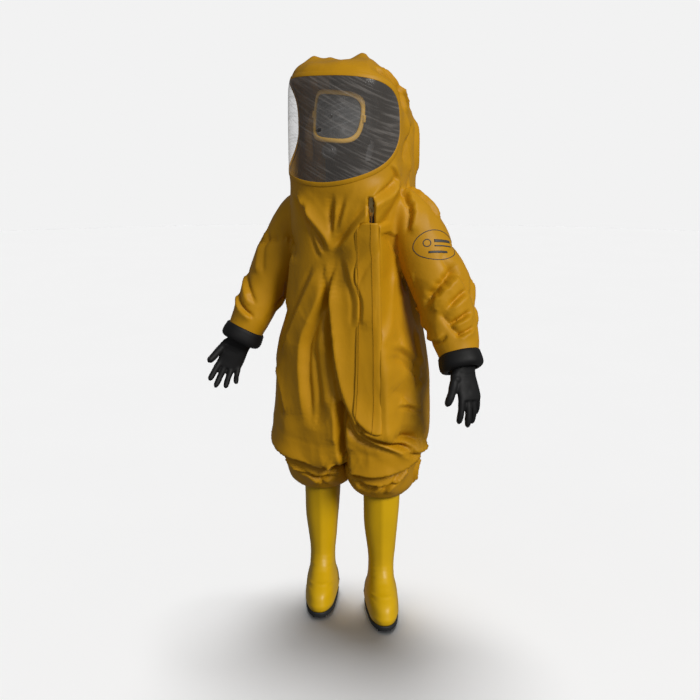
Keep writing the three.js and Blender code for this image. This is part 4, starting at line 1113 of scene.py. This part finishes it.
def storm_flap(move):
    """The flap lies over the zip with the same folds as the cloth round it."""
    flat = flap_grid().reshape(-1, 3)
    across = np.tile(np.linspace(0, 1, FLAP_COLUMNS), FLAP_ROWS)
    away = smoothstep(0.12, 0.40, across)
    flat[:, 1] += np.clip(move[:, 1], -0.024, 0.003)
    flat[:, 1] -= away * 0.0014 * (1 + lattice_noise(flat / [0.05, 1, 0.075], 61))
    flat[:, 0] += away * 0.0022 * lattice_noise(flat / [1, 1, 0.09], 71)
    wide = FLAP_COLUMNS
    faces = [(r * wide + i, r * wide + i + 1, r * wide + i + wide + 1, r * wide + i + wide)
             for r in range(FLAP_ROWS - 1) for i in range(wide - 1)]
    flap = thicken(mesh_object("storm_flap_cloth", flat, faces), 0.0016, 1.0)
    settle(flap, "cloth", "storm_flap", ["storm_flap"])
    grid = flat.reshape(FLAP_ROWS, FLAP_COLUMNS, 3)
    for name, column in (("free", 29), ("sewn", 11)):
        path = grid[:, column] + [0, -0.0019, 0]
        outs = np.tile([0.0, -1.0, 0.0], (len(path), 1))
        seam = ribbon(f"flap_{name}_stitching", path, outs, 0.0009, 0.0004)
        settle(seam, "trim", "storm_flap")


def ribbon(name, path, outs, half, lift, closed=False):
    """A low raised strip along a path on a surface."""
    path, outs = np.asarray(path), unit(np.asarray(outs))
    if closed:
        ahead = np.roll(path, -1, axis=0) - np.roll(path, 1, axis=0)
    else:
        ahead = np.gradient(path, axis=0)
    side = unit(np.cross(unit(ahead), outs))
    section = [(-1.0, -0.6), (-0.8, 0.8), (-0.3, 1.0), (0.3, 1.0), (0.8, 0.8), (1.0, -0.6)]
    rings = [path[i] + [s * half * side[i] + h * lift * outs[i] for s, h in section]
             for i in range(len(path))]
    return outward(mesh_object(name, *skin([np.array(r) for r in rings], closed=not closed, looped=closed)))


# ---------- gloves and cuffs ----------
def hand_matrix(side):
    """From a glove's own frame, with its fingers along -Z and thumb towards sign X, to the torso's."""
    elbow = joint_at(f"elbow_{side}") - AXIS
    cuff = joint_at(f"glove_turn_{side}") - AXIS
    along = (cuff - elbow).normalized()
    turn = Vector((0, 0, -1)).rotation_difference(along).to_matrix().to_4x4()
    spin = Matrix.Rotation(math.radians(HAND_TURN[side]), 4, "Z")
    return Matrix.Translation(cuff + along * RING_HALF) @ turn @ spin


HAND_TURN = {"left": -120, "right": 30}
RING_HALF = 0.020

# Digits in the glove's frame: root x, root z, length, spread and curl in degrees, radius.
DIGITS = {
    "thumb": (0.038, -0.046, 0.082, 19, -10, 0.0138),
    "index": (0.031, -0.100, 0.080, 6, -10, 0.0112),
    "middle": (0.0105, -0.104, 0.088, 1, -8, 0.0114),
    "ring": (-0.0105, -0.103, 0.081, -5, -12, 0.0110),
    "little": (-0.030, -0.097, 0.064, -11, -16, 0.0100),
}
PALM = [(0.012, 0.044, 0.031, 0.0), (-0.010, 0.0435, 0.030, 0.0), (-0.030, 0.0395, 0.0235, 0.0),
        (-0.050, 0.0410, 0.0195, 0.0), (-0.075, 0.0435, 0.0175, 0.0010), (-0.098, 0.0425, 0.0155, 0.0010),
        (-0.112, 0.0390, 0.0130, 0.0)]


def digit_shell(root_x, root_z, length, spread, curl, radius):
    """A finger that bends a little more at each knuckle, with a rounded tip."""
    spread, curl = math.radians(spread), math.radians(curl)
    here = np.array([root_x * 0.96, 0.0, root_z + 0.020])
    path, radii = [here], [radius * 0.98]
    steps = 14
    for i in range(steps):
        share = (i + 1) / steps
        bend = curl * (0.4 + 1.5 * smoothstep(0.15, 0.45, share) + 1.3 * smoothstep(0.55, 0.80, share))
        ahead = np.array([math.sin(spread), math.sin(bend), -math.cos(spread) * math.cos(bend)])
        here = here + ahead * (length + 0.020) / steps
        knuckle = 0.06 * math.exp(-((share - 0.42) / 0.08) ** 2)
        knuckle += 0.05 * math.exp(-((share - 0.72) / 0.07) ** 2)
        path.append(here)
        round_tip = math.sqrt(max(0.03, 1 - max(0, share - 0.86) ** 2 * 46))
        radii.append(radius * (1.02 - 0.16 * share + knuckle) * round_tip)
    return skin(tube_rings(path, radii, 20))


def glove(side, sign):
    palm = skin([oval(z, w, d, d, 2.3, 36, 0.0, y) for z, w, d, y in PALM])
    heel = digit_shell(0.020, -0.030, 0.030, 30, 0, 0.0180)
    shells = [palm, heel] + [digit_shell(*row) for row in DIGITS.values()]
    shells = [(v * [sign, 1, 1], f) for v, f in shells]
    obj = smooth_union(f"glove_{side}_rubber", shells, 0.0022, 7)
    co = coords(obj)
    wrinkles = ridged(co / [0.05, 0.03, 0.007], 5) * smoothstep(-0.075, -0.035, co[:, 2])
    co = co + normals(obj) * (0.0006 * wrinkles + 0.0007 * lattice_noise(co / 0.018, 9))[:, None]
    set_coords(obj, co)
    obj.data.transform(hand_matrix(side))
    settle(obj, "glove", f"hand_{side}", [f"glove_{side}"])


# The rolled cuff band's section: height along the sleeve and radius.
CUFF = [(0.038, 0.0572), (0.0400, 0.0600), (0.0385, 0.0640), (0.0340, 0.0668), (0.027, 0.0676),
        (0.018, 0.0690), (0.008, 0.0698), (0.000, 0.0690), (-0.007, 0.0655), (-0.0112, 0.0595),
        (-0.0124, 0.0530), (-0.0120, 0.0470), (-0.0080, 0.0464), (-0.0010, 0.0510), (-0.0004, 0.0572)]


def cuff(side, sign):
    around = np.linspace(0, 2 * np.pi, 96, endpoint=False)
    rings = []
    for z, radius in CUFF:
        free = max(0.0, (radius - 0.056) / 0.014)
        soft = radius + free * (0.0012 * np.sin(2 * around + 0.7) + 0.0008 * np.sin(5 * around))
        rise = z + free * (0.0014 * np.sin(3 * around + 1.0) + 0.0007 * np.sin(7 * around))
        rings.append(np.stack([soft * np.cos(around), soft * np.sin(around), rise], axis=1))
    band = outward(mesh_object(f"cuff_band_{side}_rubber", *skin(rings, looped=True)))
    band.data.transform(hand_matrix(side))
    settle(band, "glove", f"hand_{side}", [f"cuff_band_{side}"])


# ---------- boots ----------
# Rows: height, half width, reach to the toe, reach to the heel, and the heel's share of the width.
BOOT = [(0.0264, 0.0525, 0.195, 0.070, 0.80), (0.040, 0.0560, 0.198, 0.072, 0.80),
        (0.058, 0.0555, 0.194, 0.071, 0.80), (0.076, 0.0540, 0.186, 0.069, 0.81),
        (0.090, 0.0510, 0.172, 0.067, 0.84), (0.104, 0.0475, 0.150, 0.066, 0.88),
        (0.120, 0.0445, 0.121, 0.064, 0.92), (0.140, 0.0430, 0.093, 0.062, 0.96),
        (0.180, 0.0430, 0.066, 0.060, 1.0), (0.240, 0.0490, 0.060, 0.061, 1.0),
        (0.310, 0.0560, 0.061, 0.063, 1.0), (0.380, 0.0600, 0.062, 0.064, 1.0),
        (0.436, 0.0620, 0.062, 0.064, 1.0)]
BOOT_COUNT = 72


def boot_ring(z, width, toe, heel, back, grow=0.0):
    t = np.linspace(0, 2 * np.pi, BOOT_COUNT, endpoint=False)
    s, c = np.sin(t), np.cos(t)
    along = np.sign(c) * np.abs(c) ** np.where(c > 0, 0.84, 0.90)
    half = (width + grow) * np.where(c < 0, 1 + (back - 1) * -c, 1)
    reach = np.where(c > 0, toe + grow, heel + grow)
    swell = 1 + 0.06 * smoothstep(0.08, 0.14, reach * c) * (z < 0.09)
    across = half * np.sign(s) * np.abs(s) ** 0.86 * swell
    return np.stack([across, -reach * along, np.full(BOOT_COUNT, z)], axis=1)


def boot_place(side):
    knee = joint_at(f"knee_{side}") - AXIS
    axis = JOINTS[f"knee_{side}"]["axis"]
    return Matrix.Translation((knee.x, knee.y, 0)) @ Matrix.Rotation(math.atan2(axis[1], axis[0]), 4, "Z")


def boot_upper(side):
    rows = spline(BOOT, 90)
    outer = [boot_ring(*row) for row in rows]
    inner = [boot_ring(*row, grow=-0.003) for row in rows[::-1]]
    obj = outward(mesh_object(f"boot_{side}_rubber", *skin(outer + inner, looped=True)))
    co = coords(obj)
    count = len(outer) * BOOT_COUNT
    x, y, z = co[:count].T
    no = normals(obj)[:count]
    front = np.exp(-np.abs(x / 0.016) ** 1.2) * (y < 0) * smoothstep(0.12, 0.20, z)
    lift = 0.0070 * front
    ankle = np.exp(-((z - 0.150) / 0.032) ** 2)
    creases = np.sin((z + 0.18 * y + 0.10 * np.abs(x)) * 330) * ankle * smoothstep(0.02, -0.05, y)
    lift += 0.0004 * creases
    lift += 0.0022 * lattice_noise(co[:count] / [0.06, 0.06, 0.10], 13) * smoothstep(0.10, 0.22, z)
    lift += 0.0016 * np.exp(-((z - 0.098 + 0.14 * (y + 0.10)) / 0.004) ** 2) * smoothstep(-0.07, -0.10, y)
    lift += 0.0014 * np.exp(-((z - 0.060) / 0.030) ** 4) * smoothstep(0.036, 0.046, y)
    lift += 0.0018 * (np.exp(-((z - 0.046) / 0.0035) ** 2))
    co[:count] += no * lift[:, None]
    set_coords(obj, co)
    obj.data.transform(boot_place(side))
    settle(obj, "boot", f"shin_{side}", [f"boot_upper_{side}"])


def boot_sole(side):
    """The sole with its raised heel, a foxing rim round its edge, and lugs across the tread."""
    profile = [(0.0075, -0.0045), (0.0110, 0.0010), (0.0170, 0.0018), (0.0225, 0.0022), (0.0255, 0.0005),
               (0.0262, -0.006)]
    rings = [boot_ring(z, 0.0540, 0.1965, 0.0720, 0.80, grow) for z, grow in profile]
    body = skin(rings)
    lugs = []
    for y in np.arange(-0.178, 0.060, 0.0135):
        heel = y > 0.004
        if -0.050 < y < 0.012:
            continue
        half = 0.050 * math.sqrt(max(0.10, 1 - ((y + 0.062) / 0.136) ** 2)) if not heel else 0.041
        half = min(half, 0.045) - 0.004
        for x0, x1 in ((-half, -0.004), (0.004, half)):
            lugs.append(block(x0, x1, y, y + 0.0095, 0.0, 0.0085))
    obj = joined(f"boot_sole_{side}_rubber", [body] + lugs, smooth=False)
    soften(obj, 0.0008, 2)
    obj.data.transform(boot_place(side))
    settle(obj, "sole", f"shin_{side}", [f"boot_sole_{side}"])


def against(obj, place, points, lift):
    """The points moved level, in or out, to lie at one height over a piece that is already in place."""
    back = place.inverted()
    tree = BVHTree.FromPolygons([back @ (v.co - AXIS) for v in obj.data.vertices],
                                [tuple(face.vertices) for face in obj.data.polygons])
    base = min((back @ (v.co - AXIS)).z for v in obj.data.vertices) + 0.002
    moved = []
    for point in points:
        out = Vector((point[0], point[1], 0)).normalized()
        level = max(point[2], base)
        hit = tree.ray_cast(Vector((0, 0, level)) + 0.2 * out, -out)[0]
        moved.append(hit + lift * out + Vector((0, 0, point[2] - level)))
    return moved


HEEL_GUARD = {"half_turn": 76, "low": 0.024, "high": 0.100, "around": 48, "rows": 26,
              "lift": 0.0012, "thick": 0.003}


def heel_guard(side):
    """The black guard that lies on the back of the boot, rounded at its top corners."""
    shape = HEEL_GUARD
    around = shape["around"]
    turns = np.linspace(-1, 1, around)
    points = []
    for share in np.linspace(0, 1, shape["rows"]):
        narrow = math.sqrt(max(0.0, 1 - (0.92 * share) ** 4))
        angle = math.radians(shape["half_turn"]) * turns * narrow
        z = shape["low"] + (shape["high"] - shape["low"]) * share
        points.extend(np.stack([np.sin(angle), np.cos(angle), np.full(around, z)], axis=1))
    place = boot_place(side)
    verts = against(bpy.data.objects[f"boot_{side}_rubber"], place, points, shape["lift"])
    faces = [(r * around + i, r * around + i + 1, (r + 1) * around + i + 1, (r + 1) * around + i)
             for r in range(shape["rows"] - 1) for i in range(around - 1)]
    guard = thicken(mesh_object(f"heel_guard_{side}_rubber", verts, faces), shape["thick"], 0)
    guard.data.transform(place)
    settle(guard, "sole", f"shin_{side}")


# ---------- breathing mask ----------
MASK = (Matrix.Translation((-0.006, -0.026, 1.650)) @ Matrix.Rotation(math.radians(-6), 4, "Z")
        @ Matrix.Rotation(math.radians(5), 4, "Y"))
LENS = {"across": 0.094, "up": 0.066, "radius": 0.098, "power": 3.6}


def on_lens(u, w, lift):
    """Points on the mask's bent lens: u across and w up from its middle, lifted off it."""
    turn = u / LENS["radius"]
    reach = LENS["radius"] + lift
    drop = 0.10 * np.maximum(0, w) ** 2 / 0.066
    return np.stack([reach * np.sin(turn), 0.012 - reach * np.cos(turn) + drop, w], axis=-1)


def lens_rim(grow, lift, share=1.0, count=96):
    t = np.linspace(0, 2 * np.pi, count, endpoint=False)
    s, c = np.sin(t), np.cos(t)
    reach = (np.abs(c) ** LENS["power"] + np.abs(s) ** LENS["power"]) ** (-1 / LENS["power"]) * share
    narrow = 1 - 0.10 * np.maximum(0, -s)
    return on_lens((LENS["across"] + grow) * reach * c * narrow, (LENS["up"] + grow) * reach * s, lift)


def mask_part(name, made, mat, replaces=(), soft=0.0):
    obj = outward(mesh_object(name, *made)) if isinstance(made, tuple) else made
    obj.data.transform(MASK)
    if soft:
        soften(obj, soft)
    return settle(obj, mat, "mask", replaces)


def skirt_ring(y, across, up, down, count=96):
    t = np.linspace(0, 2 * np.pi, count, endpoint=False)
    s, c = np.sin(t), np.cos(t)
    reach = (np.abs(c) ** 2.6 + np.abs(s) ** 2.6) ** (-1 / 2.6)
    height = np.where(s > 0, up, down) * reach * s
    return np.stack([across * reach * c, np.full(count, float(y)), height], axis=1)


def lathe(rows, centre=(0, 0, 0), count=48, looped=False):
    """A turned form about the local Y axis, facing -Y: rows of distance forwards and radius."""
    t = np.linspace(0, 2 * np.pi, count, endpoint=False)
    rings = [np.stack([r * np.cos(t), np.full(count, -float(d)), r * np.sin(t)], axis=1) + np.array(centre)
             for d, r in rows]
    return skin(rings, closed=not looped, looped=looped)


def mask():
    rings = [lens_rim(-0.0005, -0.001, share) for share in np.linspace(0.06, 1, 16)]
    verts, faces = skin(rings, closed=False)
    faces.append(tuple(range(96)))
    lens = face_forward(mesh_object("mask_lens_sheet", verts, faces))
    mask_part("mask_lens_sheet", lens, "lens", ["mask_lens"])
    section = [(-0.0015, -0.0030), (-0.0020, 0.0020), (0.0005, 0.0042), (0.0040, 0.0052), (0.0085, 0.0050),
               (0.0112, 0.0034), (0.0122, 0.0), (0.0118, -0.0045)]
    rim = skin([lens_rim(g, l) for g, l in section], looped=True)
    mask_part("mask_frame_ring", rim, "frame", ["mask_frame"])
    for x in (-1, 1):
        clip = on_lens(np.array(x * 0.0995), np.array(0.0), 0.0055)
        made = block(clip[0] - 0.004, clip[0] + 0.004, clip[1] - 0.002, clip[1] + 0.010, -0.011, 0.011)
        mask_part(f"mask_clip_{'left' if x > 0 else 'right'}", made, "frame", soft=0.0015)
    skirt = [(-0.012, 0.086, 0.066, 0.096), (0.0, 0.090, 0.073, 0.104), (0.026, 0.086, 0.076, 0.100),
             (0.040, 0.080, 0.074, 0.094), (0.046, 0.072, 0.066, 0.084), (0.040, 0.068, 0.062, 0.080)]
    rings = [skirt_ring(*row) for row in spline(skirt, 24)]
    rim = lens_rim(0.007, -0.004)
    rings = [rim + (rings[0] - rim) * smoothstep(0, 1, t) for t in np.linspace(0, 0.95, 12)] + rings
    face = thicken(mesh_object("mask_face_rubber", *skin(rings, closed=False)), 0.0026, -1)
    mask_part("mask_face_rubber", outward(face), "rubber", ["mask_face_piece"])
    cup = [(-0.052, 0.012, 0.014, 0.016), (-0.050, 0.022, 0.022, 0.028), (-0.036, 0.031, 0.030, 0.040),
           (-0.010, 0.038, 0.036, 0.050), (0.006, 0.040, 0.038, 0.054)]
    rings = [skirt_ring(*row, count=40) - np.array([0, 0, 0.052]) for row in spline(cup, 16)]
    nose = thicken(mesh_object("mask_nose_cup", *skin(rings, closed=False)), 0.002, -1)
    mask_part("mask_nose_cup", outward(nose), "rubber")
    chin = [(-0.116, 0.022, 0.044, 0.030), (-0.108, 0.034, 0.060, 0.036), (-0.098, 0.039, 0.067, 0.040),
            (-0.088, 0.040, 0.072, 0.034), (-0.078, 0.038, 0.074, 0.024), (-0.066, 0.032, 0.072, 0.010)]
    rings = [oval(z, w, f, b, 2.3, 48) for z, w, f, b in spline(chin, 18)]
    mask_part("mask_chin_rubber", skin(rings), "rubber", ["mask_chin_block"])
    port = (0, -0.074, -0.106)
    housing = [(0.0006, 0.0235), (0.0060, 0.0240), (0.0066, 0.0228), (0.0090, 0.0228), (0.0096, 0.0240),
               (0.0140, 0.0236), (0.0152, 0.0220), (0.0152, 0.0080), (0.0006, 0.0080)]
    mask_part("mask_valve_body", lathe(housing, port, 64, looped=True), "black",
              ["mask_valve_housing"])
    grip = [(0.0154, 0.0205), (0.0180, 0.0205), (0.0192, 0.0190), (0.0192, 0.0150), (0.0176, 0.0140),
            (0.0176, 0.0100), (0.0194, 0.0090), (0.0196, 0.0030)]
    mask_part("mask_speech_cover", lathe(grip, port, 64), "dark_steel", ["mask_speech_disc"])
    head_cover()
    straps()


COVER = [(-0.150, 0.067, 0.061, 0.076), (-0.120, 0.070, 0.068, 0.083), (-0.090, 0.074, 0.076, 0.090),
         (-0.050, 0.078, 0.082, 0.095), (-0.020, 0.080, 0.086, 0.098), (0.010, 0.079, 0.090, 0.102),
         (0.040, 0.072, 0.084, 0.096), (0.066, 0.058, 0.068, 0.080), (0.076, 0.044, 0.051, 0.060),
         (0.0805, 0.022, 0.026, 0.031)]
COVER_RISE = 0.020


def head_cover():
    """The dark cap and neck curtain round the mask, open where the mask's rubber passes."""
    rings = [oval(z + COVER_RISE, w, f, b, 2.1, 120, 0.0, 0.042) for z, w, f, b in spline(COVER, 90)]
    verts, faces = skin(rings, closed=False)
    faces.append(tuple(range(len(verts) - 120, len(verts))))
    cover = outward(mesh_object("head_cover_cloth", verts, faces))
    bm = bmesh.new()
    bm.from_mesh(cover.data)
    gone = []
    for face in bm.faces:
        x, y, z = face.calc_center_median()
        in_skirt = y < 0.046 and (abs(x) / 0.094) ** 2.6 + (abs(z) / (0.078 if z > 0 else 0.106)) ** 2.6 < 1
        if (in_skirt or (y < 0.036 and z < -0.05)):
            gone.append(face)
    bmesh.ops.delete(bm, geom=gone, context="FACES")
    bm.to_mesh(cover.data)
    bm.free()
    co = coords(cover)
    wrinkle = 0.0026 * ridged(co / [0.035, 0.045, 0.030], 81) + 0.0025 * lattice_noise(co / 0.05, 83)
    low = smoothstep(0.06, -0.08, co[:, 2])
    set_coords(cover, co + normals(cover) * (wrinkle * (0.35 + 0.9 * low) - 0.002)[:, None])
    mask_part("head_cover_cloth", thicken(cover, 0.0022, -1), "cap", ["head_harness"])


def straps():
    """Five rubber straps from the mask's rim back over the cap."""
    for i, (x, z, back_x, back_z) in enumerate(STRAPS):
        start = np.array([x, 0.020, z])
        end = np.array([back_x, 0.138, back_z])
        middle = (start + end) / 2
        centre = np.array([0.0, 0.042, 0.020])
        path = []
        for t in np.linspace(0, 1, 26):
            p = (1 - t) ** 2 * start + 2 * t * (1 - t) * middle + t ** 2 * end
            out = unit(p - centre)
            path.append(cover_point(out))
        path = np.array(path)
        for _ in range(6):
            path[1:-1] = (path[:-2] + 2 * path[1:-1] + path[2:]) / 4
        outs = unit(path - centre)
        strap = ribbon(f"mask_strap_{i + 1}", path + outs * 0.0040, outs, 0.009, 0.0018)
        mask_part(strap.name, strap, "rubber")


def cover_point(out):
    """The cap's point in a direction from its middle."""
    rows = np.array(COVER)
    lengths = np.linspace(0.03, 0.18, 220)
    points = np.array([0.0, 0.042, 0.020]) + lengths[:, None] * out
    heights = points[:, 2] - COVER_RISE
    width = np.interp(heights, rows[:, 0], rows[:, 1], right=0.004)
    front = np.interp(heights, rows[:, 0], rows[:, 2], right=0.004)
    behind = np.interp(heights, rows[:, 0], rows[:, 3], right=0.004)
    y = points[:, 1] - 0.042
    depth = np.where(y < 0, front, behind)
    outside = np.abs(points[:, 0] / width) ** 2.1 + np.abs(y / depth) ** 2.1 > 1
    return points[max(0, int(np.argmax(outside)))]


STRAPS = [(0.080, 0.020, 0.020, 0.030), (-0.080, 0.020, -0.020, 0.030), (0.076, -0.040, 0.018, -0.040),
          (-0.076, -0.040, -0.018, -0.040), (0.0, 0.078, 0.0, 0.050)]


# ---------- exhaust valves ----------
def valve_cap(side):
    """A vented cap: a ring wall with slots between its ribs, and a domed top."""
    centre, axis = VALVES[side]
    base = Vector(centre) - Vector(axis) * 0.002
    aim = Vector((0, -1, 0)).rotation_difference(Vector(axis)).to_matrix().to_4x4()
    place = Matrix.Translation(base) @ aim
    top = [(0.0112, 0.0252), (0.0126, 0.0246), (0.0143, 0.0205), (0.0148, 0.0120), (0.0149, 0.0050)]
    foot = [(0.0042, 0.0232), (0.0042, 0.0258), (0.0058, 0.0258), (0.0058, 0.0232)]
    shells = [lathe(top, count=64), lathe(foot, count=64, looped=True)]
    for k in range(16):
        t = 2 * math.pi * k / 16
        rib, faces = block(-0.0013, 0.0013, -0.0118, -0.0052, 0.0228, 0.0254)
        turn = Matrix.Rotation(t, 4, "Y")
        shells.append(([turn @ Vector(v) for v in rib], faces))
    for radius in (0.009, 0.016):
        outer = radius + 0.0012
        band = [(0.0146, radius), (0.0156, radius), (0.0156, outer), (0.0140, outer)]
        shells.append(lathe(band, count=64, looped=True))
    cap = joined(f"valve_cap_{side}_vented", shells)
    cap.data.transform(place)
    settle(soften(cap, 0.0003), "black", "torso", [f"valve_cap_{side}"])


# ---------- badge ----------
def badge():
    """A plain oval outline with abstract bars, printed on the wearer's left upper sleeve."""
    cloth = bpy.data.objects["sleeve_top_left"]
    tree = BVHTree.FromPolygons([v.co - AXIS for v in cloth.data.vertices],
                                [tuple(f.vertices) for f in cloth.data.polygons])
    centre, out = on_arm(tree, "left", *BADGE["place"])
    up = np.array([0.0, 0.0, 1.0])
    up = unit(up - out * out[2])
    across = np.cross(up, out)
    lean = math.radians(BADGE["lean"])
    across, up = across * math.cos(lean) + up * math.sin(lean), up * math.cos(lean) - across * math.sin(lean)

    def laid(u, w):
        start = centre + across * u + up * w + out * 0.09
        found = tree.ray_cast(Vector(start), Vector(-out), 0.2)
        return np.array(found[0]) + np.array(found[1]) * 0.0005, np.array(found[1])

    def drawn(name, marks, half, closed):
        pairs = [laid(u, w) for u, w in marks]
        strip = ribbon(name, [p for p, _ in pairs], [n for _, n in pairs], half, 0.0004, closed)
        settle(strip, "badge")
        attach(strip, "upper_arm_left")

    t = np.linspace(0, 2 * np.pi, 120, endpoint=False)
    oval = np.stack([BADGE["half_width"] * np.cos(t), BADGE["half_height"] * np.sin(t)], axis=1)
    drawn("badge_outline", oval, 0.0013, True)
    for i, (u0, u1, w, half) in enumerate(BADGE["bars"]):
        drawn(f"badge_bar_{i + 1}", [(u, w) for u in np.linspace(u0, u1, 14)], half, False)
    ring = 0.011 * np.stack([np.cos(t[::4]), np.sin(t[::4])], axis=1) + [-0.034, 0.006]
    drawn("badge_dot", ring, 0.0016, True)


BADGE = {"place": (0.40, 50), "lean": -4, "half_width": 0.070, "half_height": 0.047,
         "bars": [(-0.012, 0.046, 0.012, 0.0048), (-0.012, 0.046, -0.004, 0.0022),
                  (-0.032, 0.030, -0.023, 0.0036)]}


# ---------- CAD nodes that keep their shape ----------
def carried():
    """Materials and soft edges for the nodes whose CAD shape is already right."""
    kept = {"zip_stop_top": "brass", "zip_stop_bottom": "brass", "zip_slider": "brass", "zip_pull": "brass",
            "flap_hook_strip": "webbing", "flap_loop_strip": "webbing", "harness_crown_strap": "webbing"}
    for side, _ in SIDES:
        kept |= {f"valve_seat_{side}": "black", f"valve_disc_{side}": "rubber", f"cuff_ring_{side}": "ring",
                 f"boot_toe_cap_{side}": "steel", f"boot_insole_{side}": "lining"}
    for name, mat in kept.items():
        obj = bpy.data.objects[name]
        for slot in obj.material_slots:
            slot.material = M[mat]
        soften(obj, 0.0003 if mat in ("brass", "webbing") else 0.0008, 2)


# ---------- camera, lights and floor ----------
def look():
    turn = math.radians(23)
    place = AXIS + Vector((3.0 * math.sin(turn), -3.0 * math.cos(turn), 1.6))
    camera = bpy.data.objects.new("camera", bpy.data.cameras.new("camera"))
    bpy.context.scene.collection.objects.link(camera)
    camera.location = place
    camera.rotation_euler = (math.radians(90 - 13.1), 0, turn)
    camera.data.lens = 47.9
    camera.data.sensor_width = 36
    camera.data.clip_end = 60
    bpy.context.scene.camera = camera


def emitter(name, level):
    made = bpy.data.materials.new(name)
    made.use_nodes = True
    tree = made.node_tree
    tree.nodes.remove(tree.nodes["Principled BSDF"])
    glow = tree.nodes.new("ShaderNodeEmission")
    glow.inputs["Color"].default_value = (level, level, level, 1)
    tree.links.new(glow.outputs[0], tree.nodes["Material Output"].inputs["Surface"])
    return made


def lamp(name, kind, energy, toward, angle=0.0):
    made = bpy.data.objects.new(name, bpy.data.lights.new(name, kind))
    made.data.energy = energy
    if kind == "SUN":
        made.data.angle = math.radians(angle)
    made.rotation_euler = Vector(toward).to_track_quat("Z", "Y").to_euler()
    bpy.context.scene.collection.objects.link(made)
    return made


def light_only(light, obj, state):
    """Makes a light reach only one object (INCLUDE), or everything but it (EXCLUDE)."""
    receivers = bpy.data.collections.new(f"{light.name}_receivers")
    receivers.objects.link(obj)
    light.light_linking.receiver_collection = receivers
    receivers.collection_objects[0].light_linking.link_state = state


def studio():
    scene = bpy.context.scene
    scene.view_settings.view_transform = "Standard"
    world = bpy.data.worlds.new("studio")
    scene.world = world
    world.use_nodes = True
    world.node_tree.nodes["Background"].inputs["Color"].default_value = (1.0, 1.0, 1.0, 1)
    world.node_tree.nodes["Background"].inputs["Strength"].default_value = LIGHT["world"]
    floor = mesh_object("floor", *disc(14.0, 0.0))
    pale = surface("floor_pale", (0.93, 0.93, 0.93), 0.9, 0.004, 1.5, 60, 0.0001, 6, 0.0001, specular=0.0)
    floor.data.materials.append(pale)
    dome_rings = []
    for e in np.radians([-4, 10, 30, 50, 70, 88]):
        wide, high = 14 * math.cos(e), 14 * math.sin(e)
        ring = [wide * np.cos(DOME_T), wide * np.sin(DOME_T), np.full(64, high)]
        dome_rings.append(np.stack(ring, axis=1))
    dome = mesh_object("backdrop", *skin(dome_rings, closed=False))
    dome.data.materials.append(emitter("backdrop_pale", 0.888))
    for obj in (floor, dome):
        obj.visible_diffuse = False
        obj.visible_glossy = False
    dome.visible_shadow = False
    key = lamp("key", "SUN", LIGHT["key"], (0.97, -0.54, 0.74), 22)
    key.data.color = (1.0, 0.985, 0.95)
    light_only(key, floor, "EXCLUDE")
    fill = lamp("fill", "AREA", LIGHT["fill"], (0.4, -3.6, 1.6))
    fill.data.size = 2.0
    fill.location = AXIS + Vector((0.4, -3.6, 2.6))
    light_only(fill, floor, "EXCLUDE")
    over = lamp("over_floor", "SUN", LIGHT["over_floor"], (-0.12, 0.30, 1.0), 30)
    light_only(over, floor, "INCLUDE")


LIGHT = {"world": 0.165, "key": 2.65, "fill": 9, "over_floor": 2.62}
DOME_T = np.linspace(0, 2 * np.pi, 64, endpoint=False)


def disc(radius, z):
    verts = [(radius * math.cos(t), radius * math.sin(t), z) for t in DOME_T]
    return verts, [tuple(range(64))]


suit_pieces, flap_move = make_suit()
hang_suit(suit_pieces)
visor()
hood_inside_shade()
zip_sides()
storm_flap(flap_move)
for side, sign in SIDES:
    glove(side, sign)
    cuff(side, sign)
    boot_upper(side)
    boot_sole(side)
    heel_guard(side)
    valve_cap(side)
mask()
badge()
carried()
look()
studio()
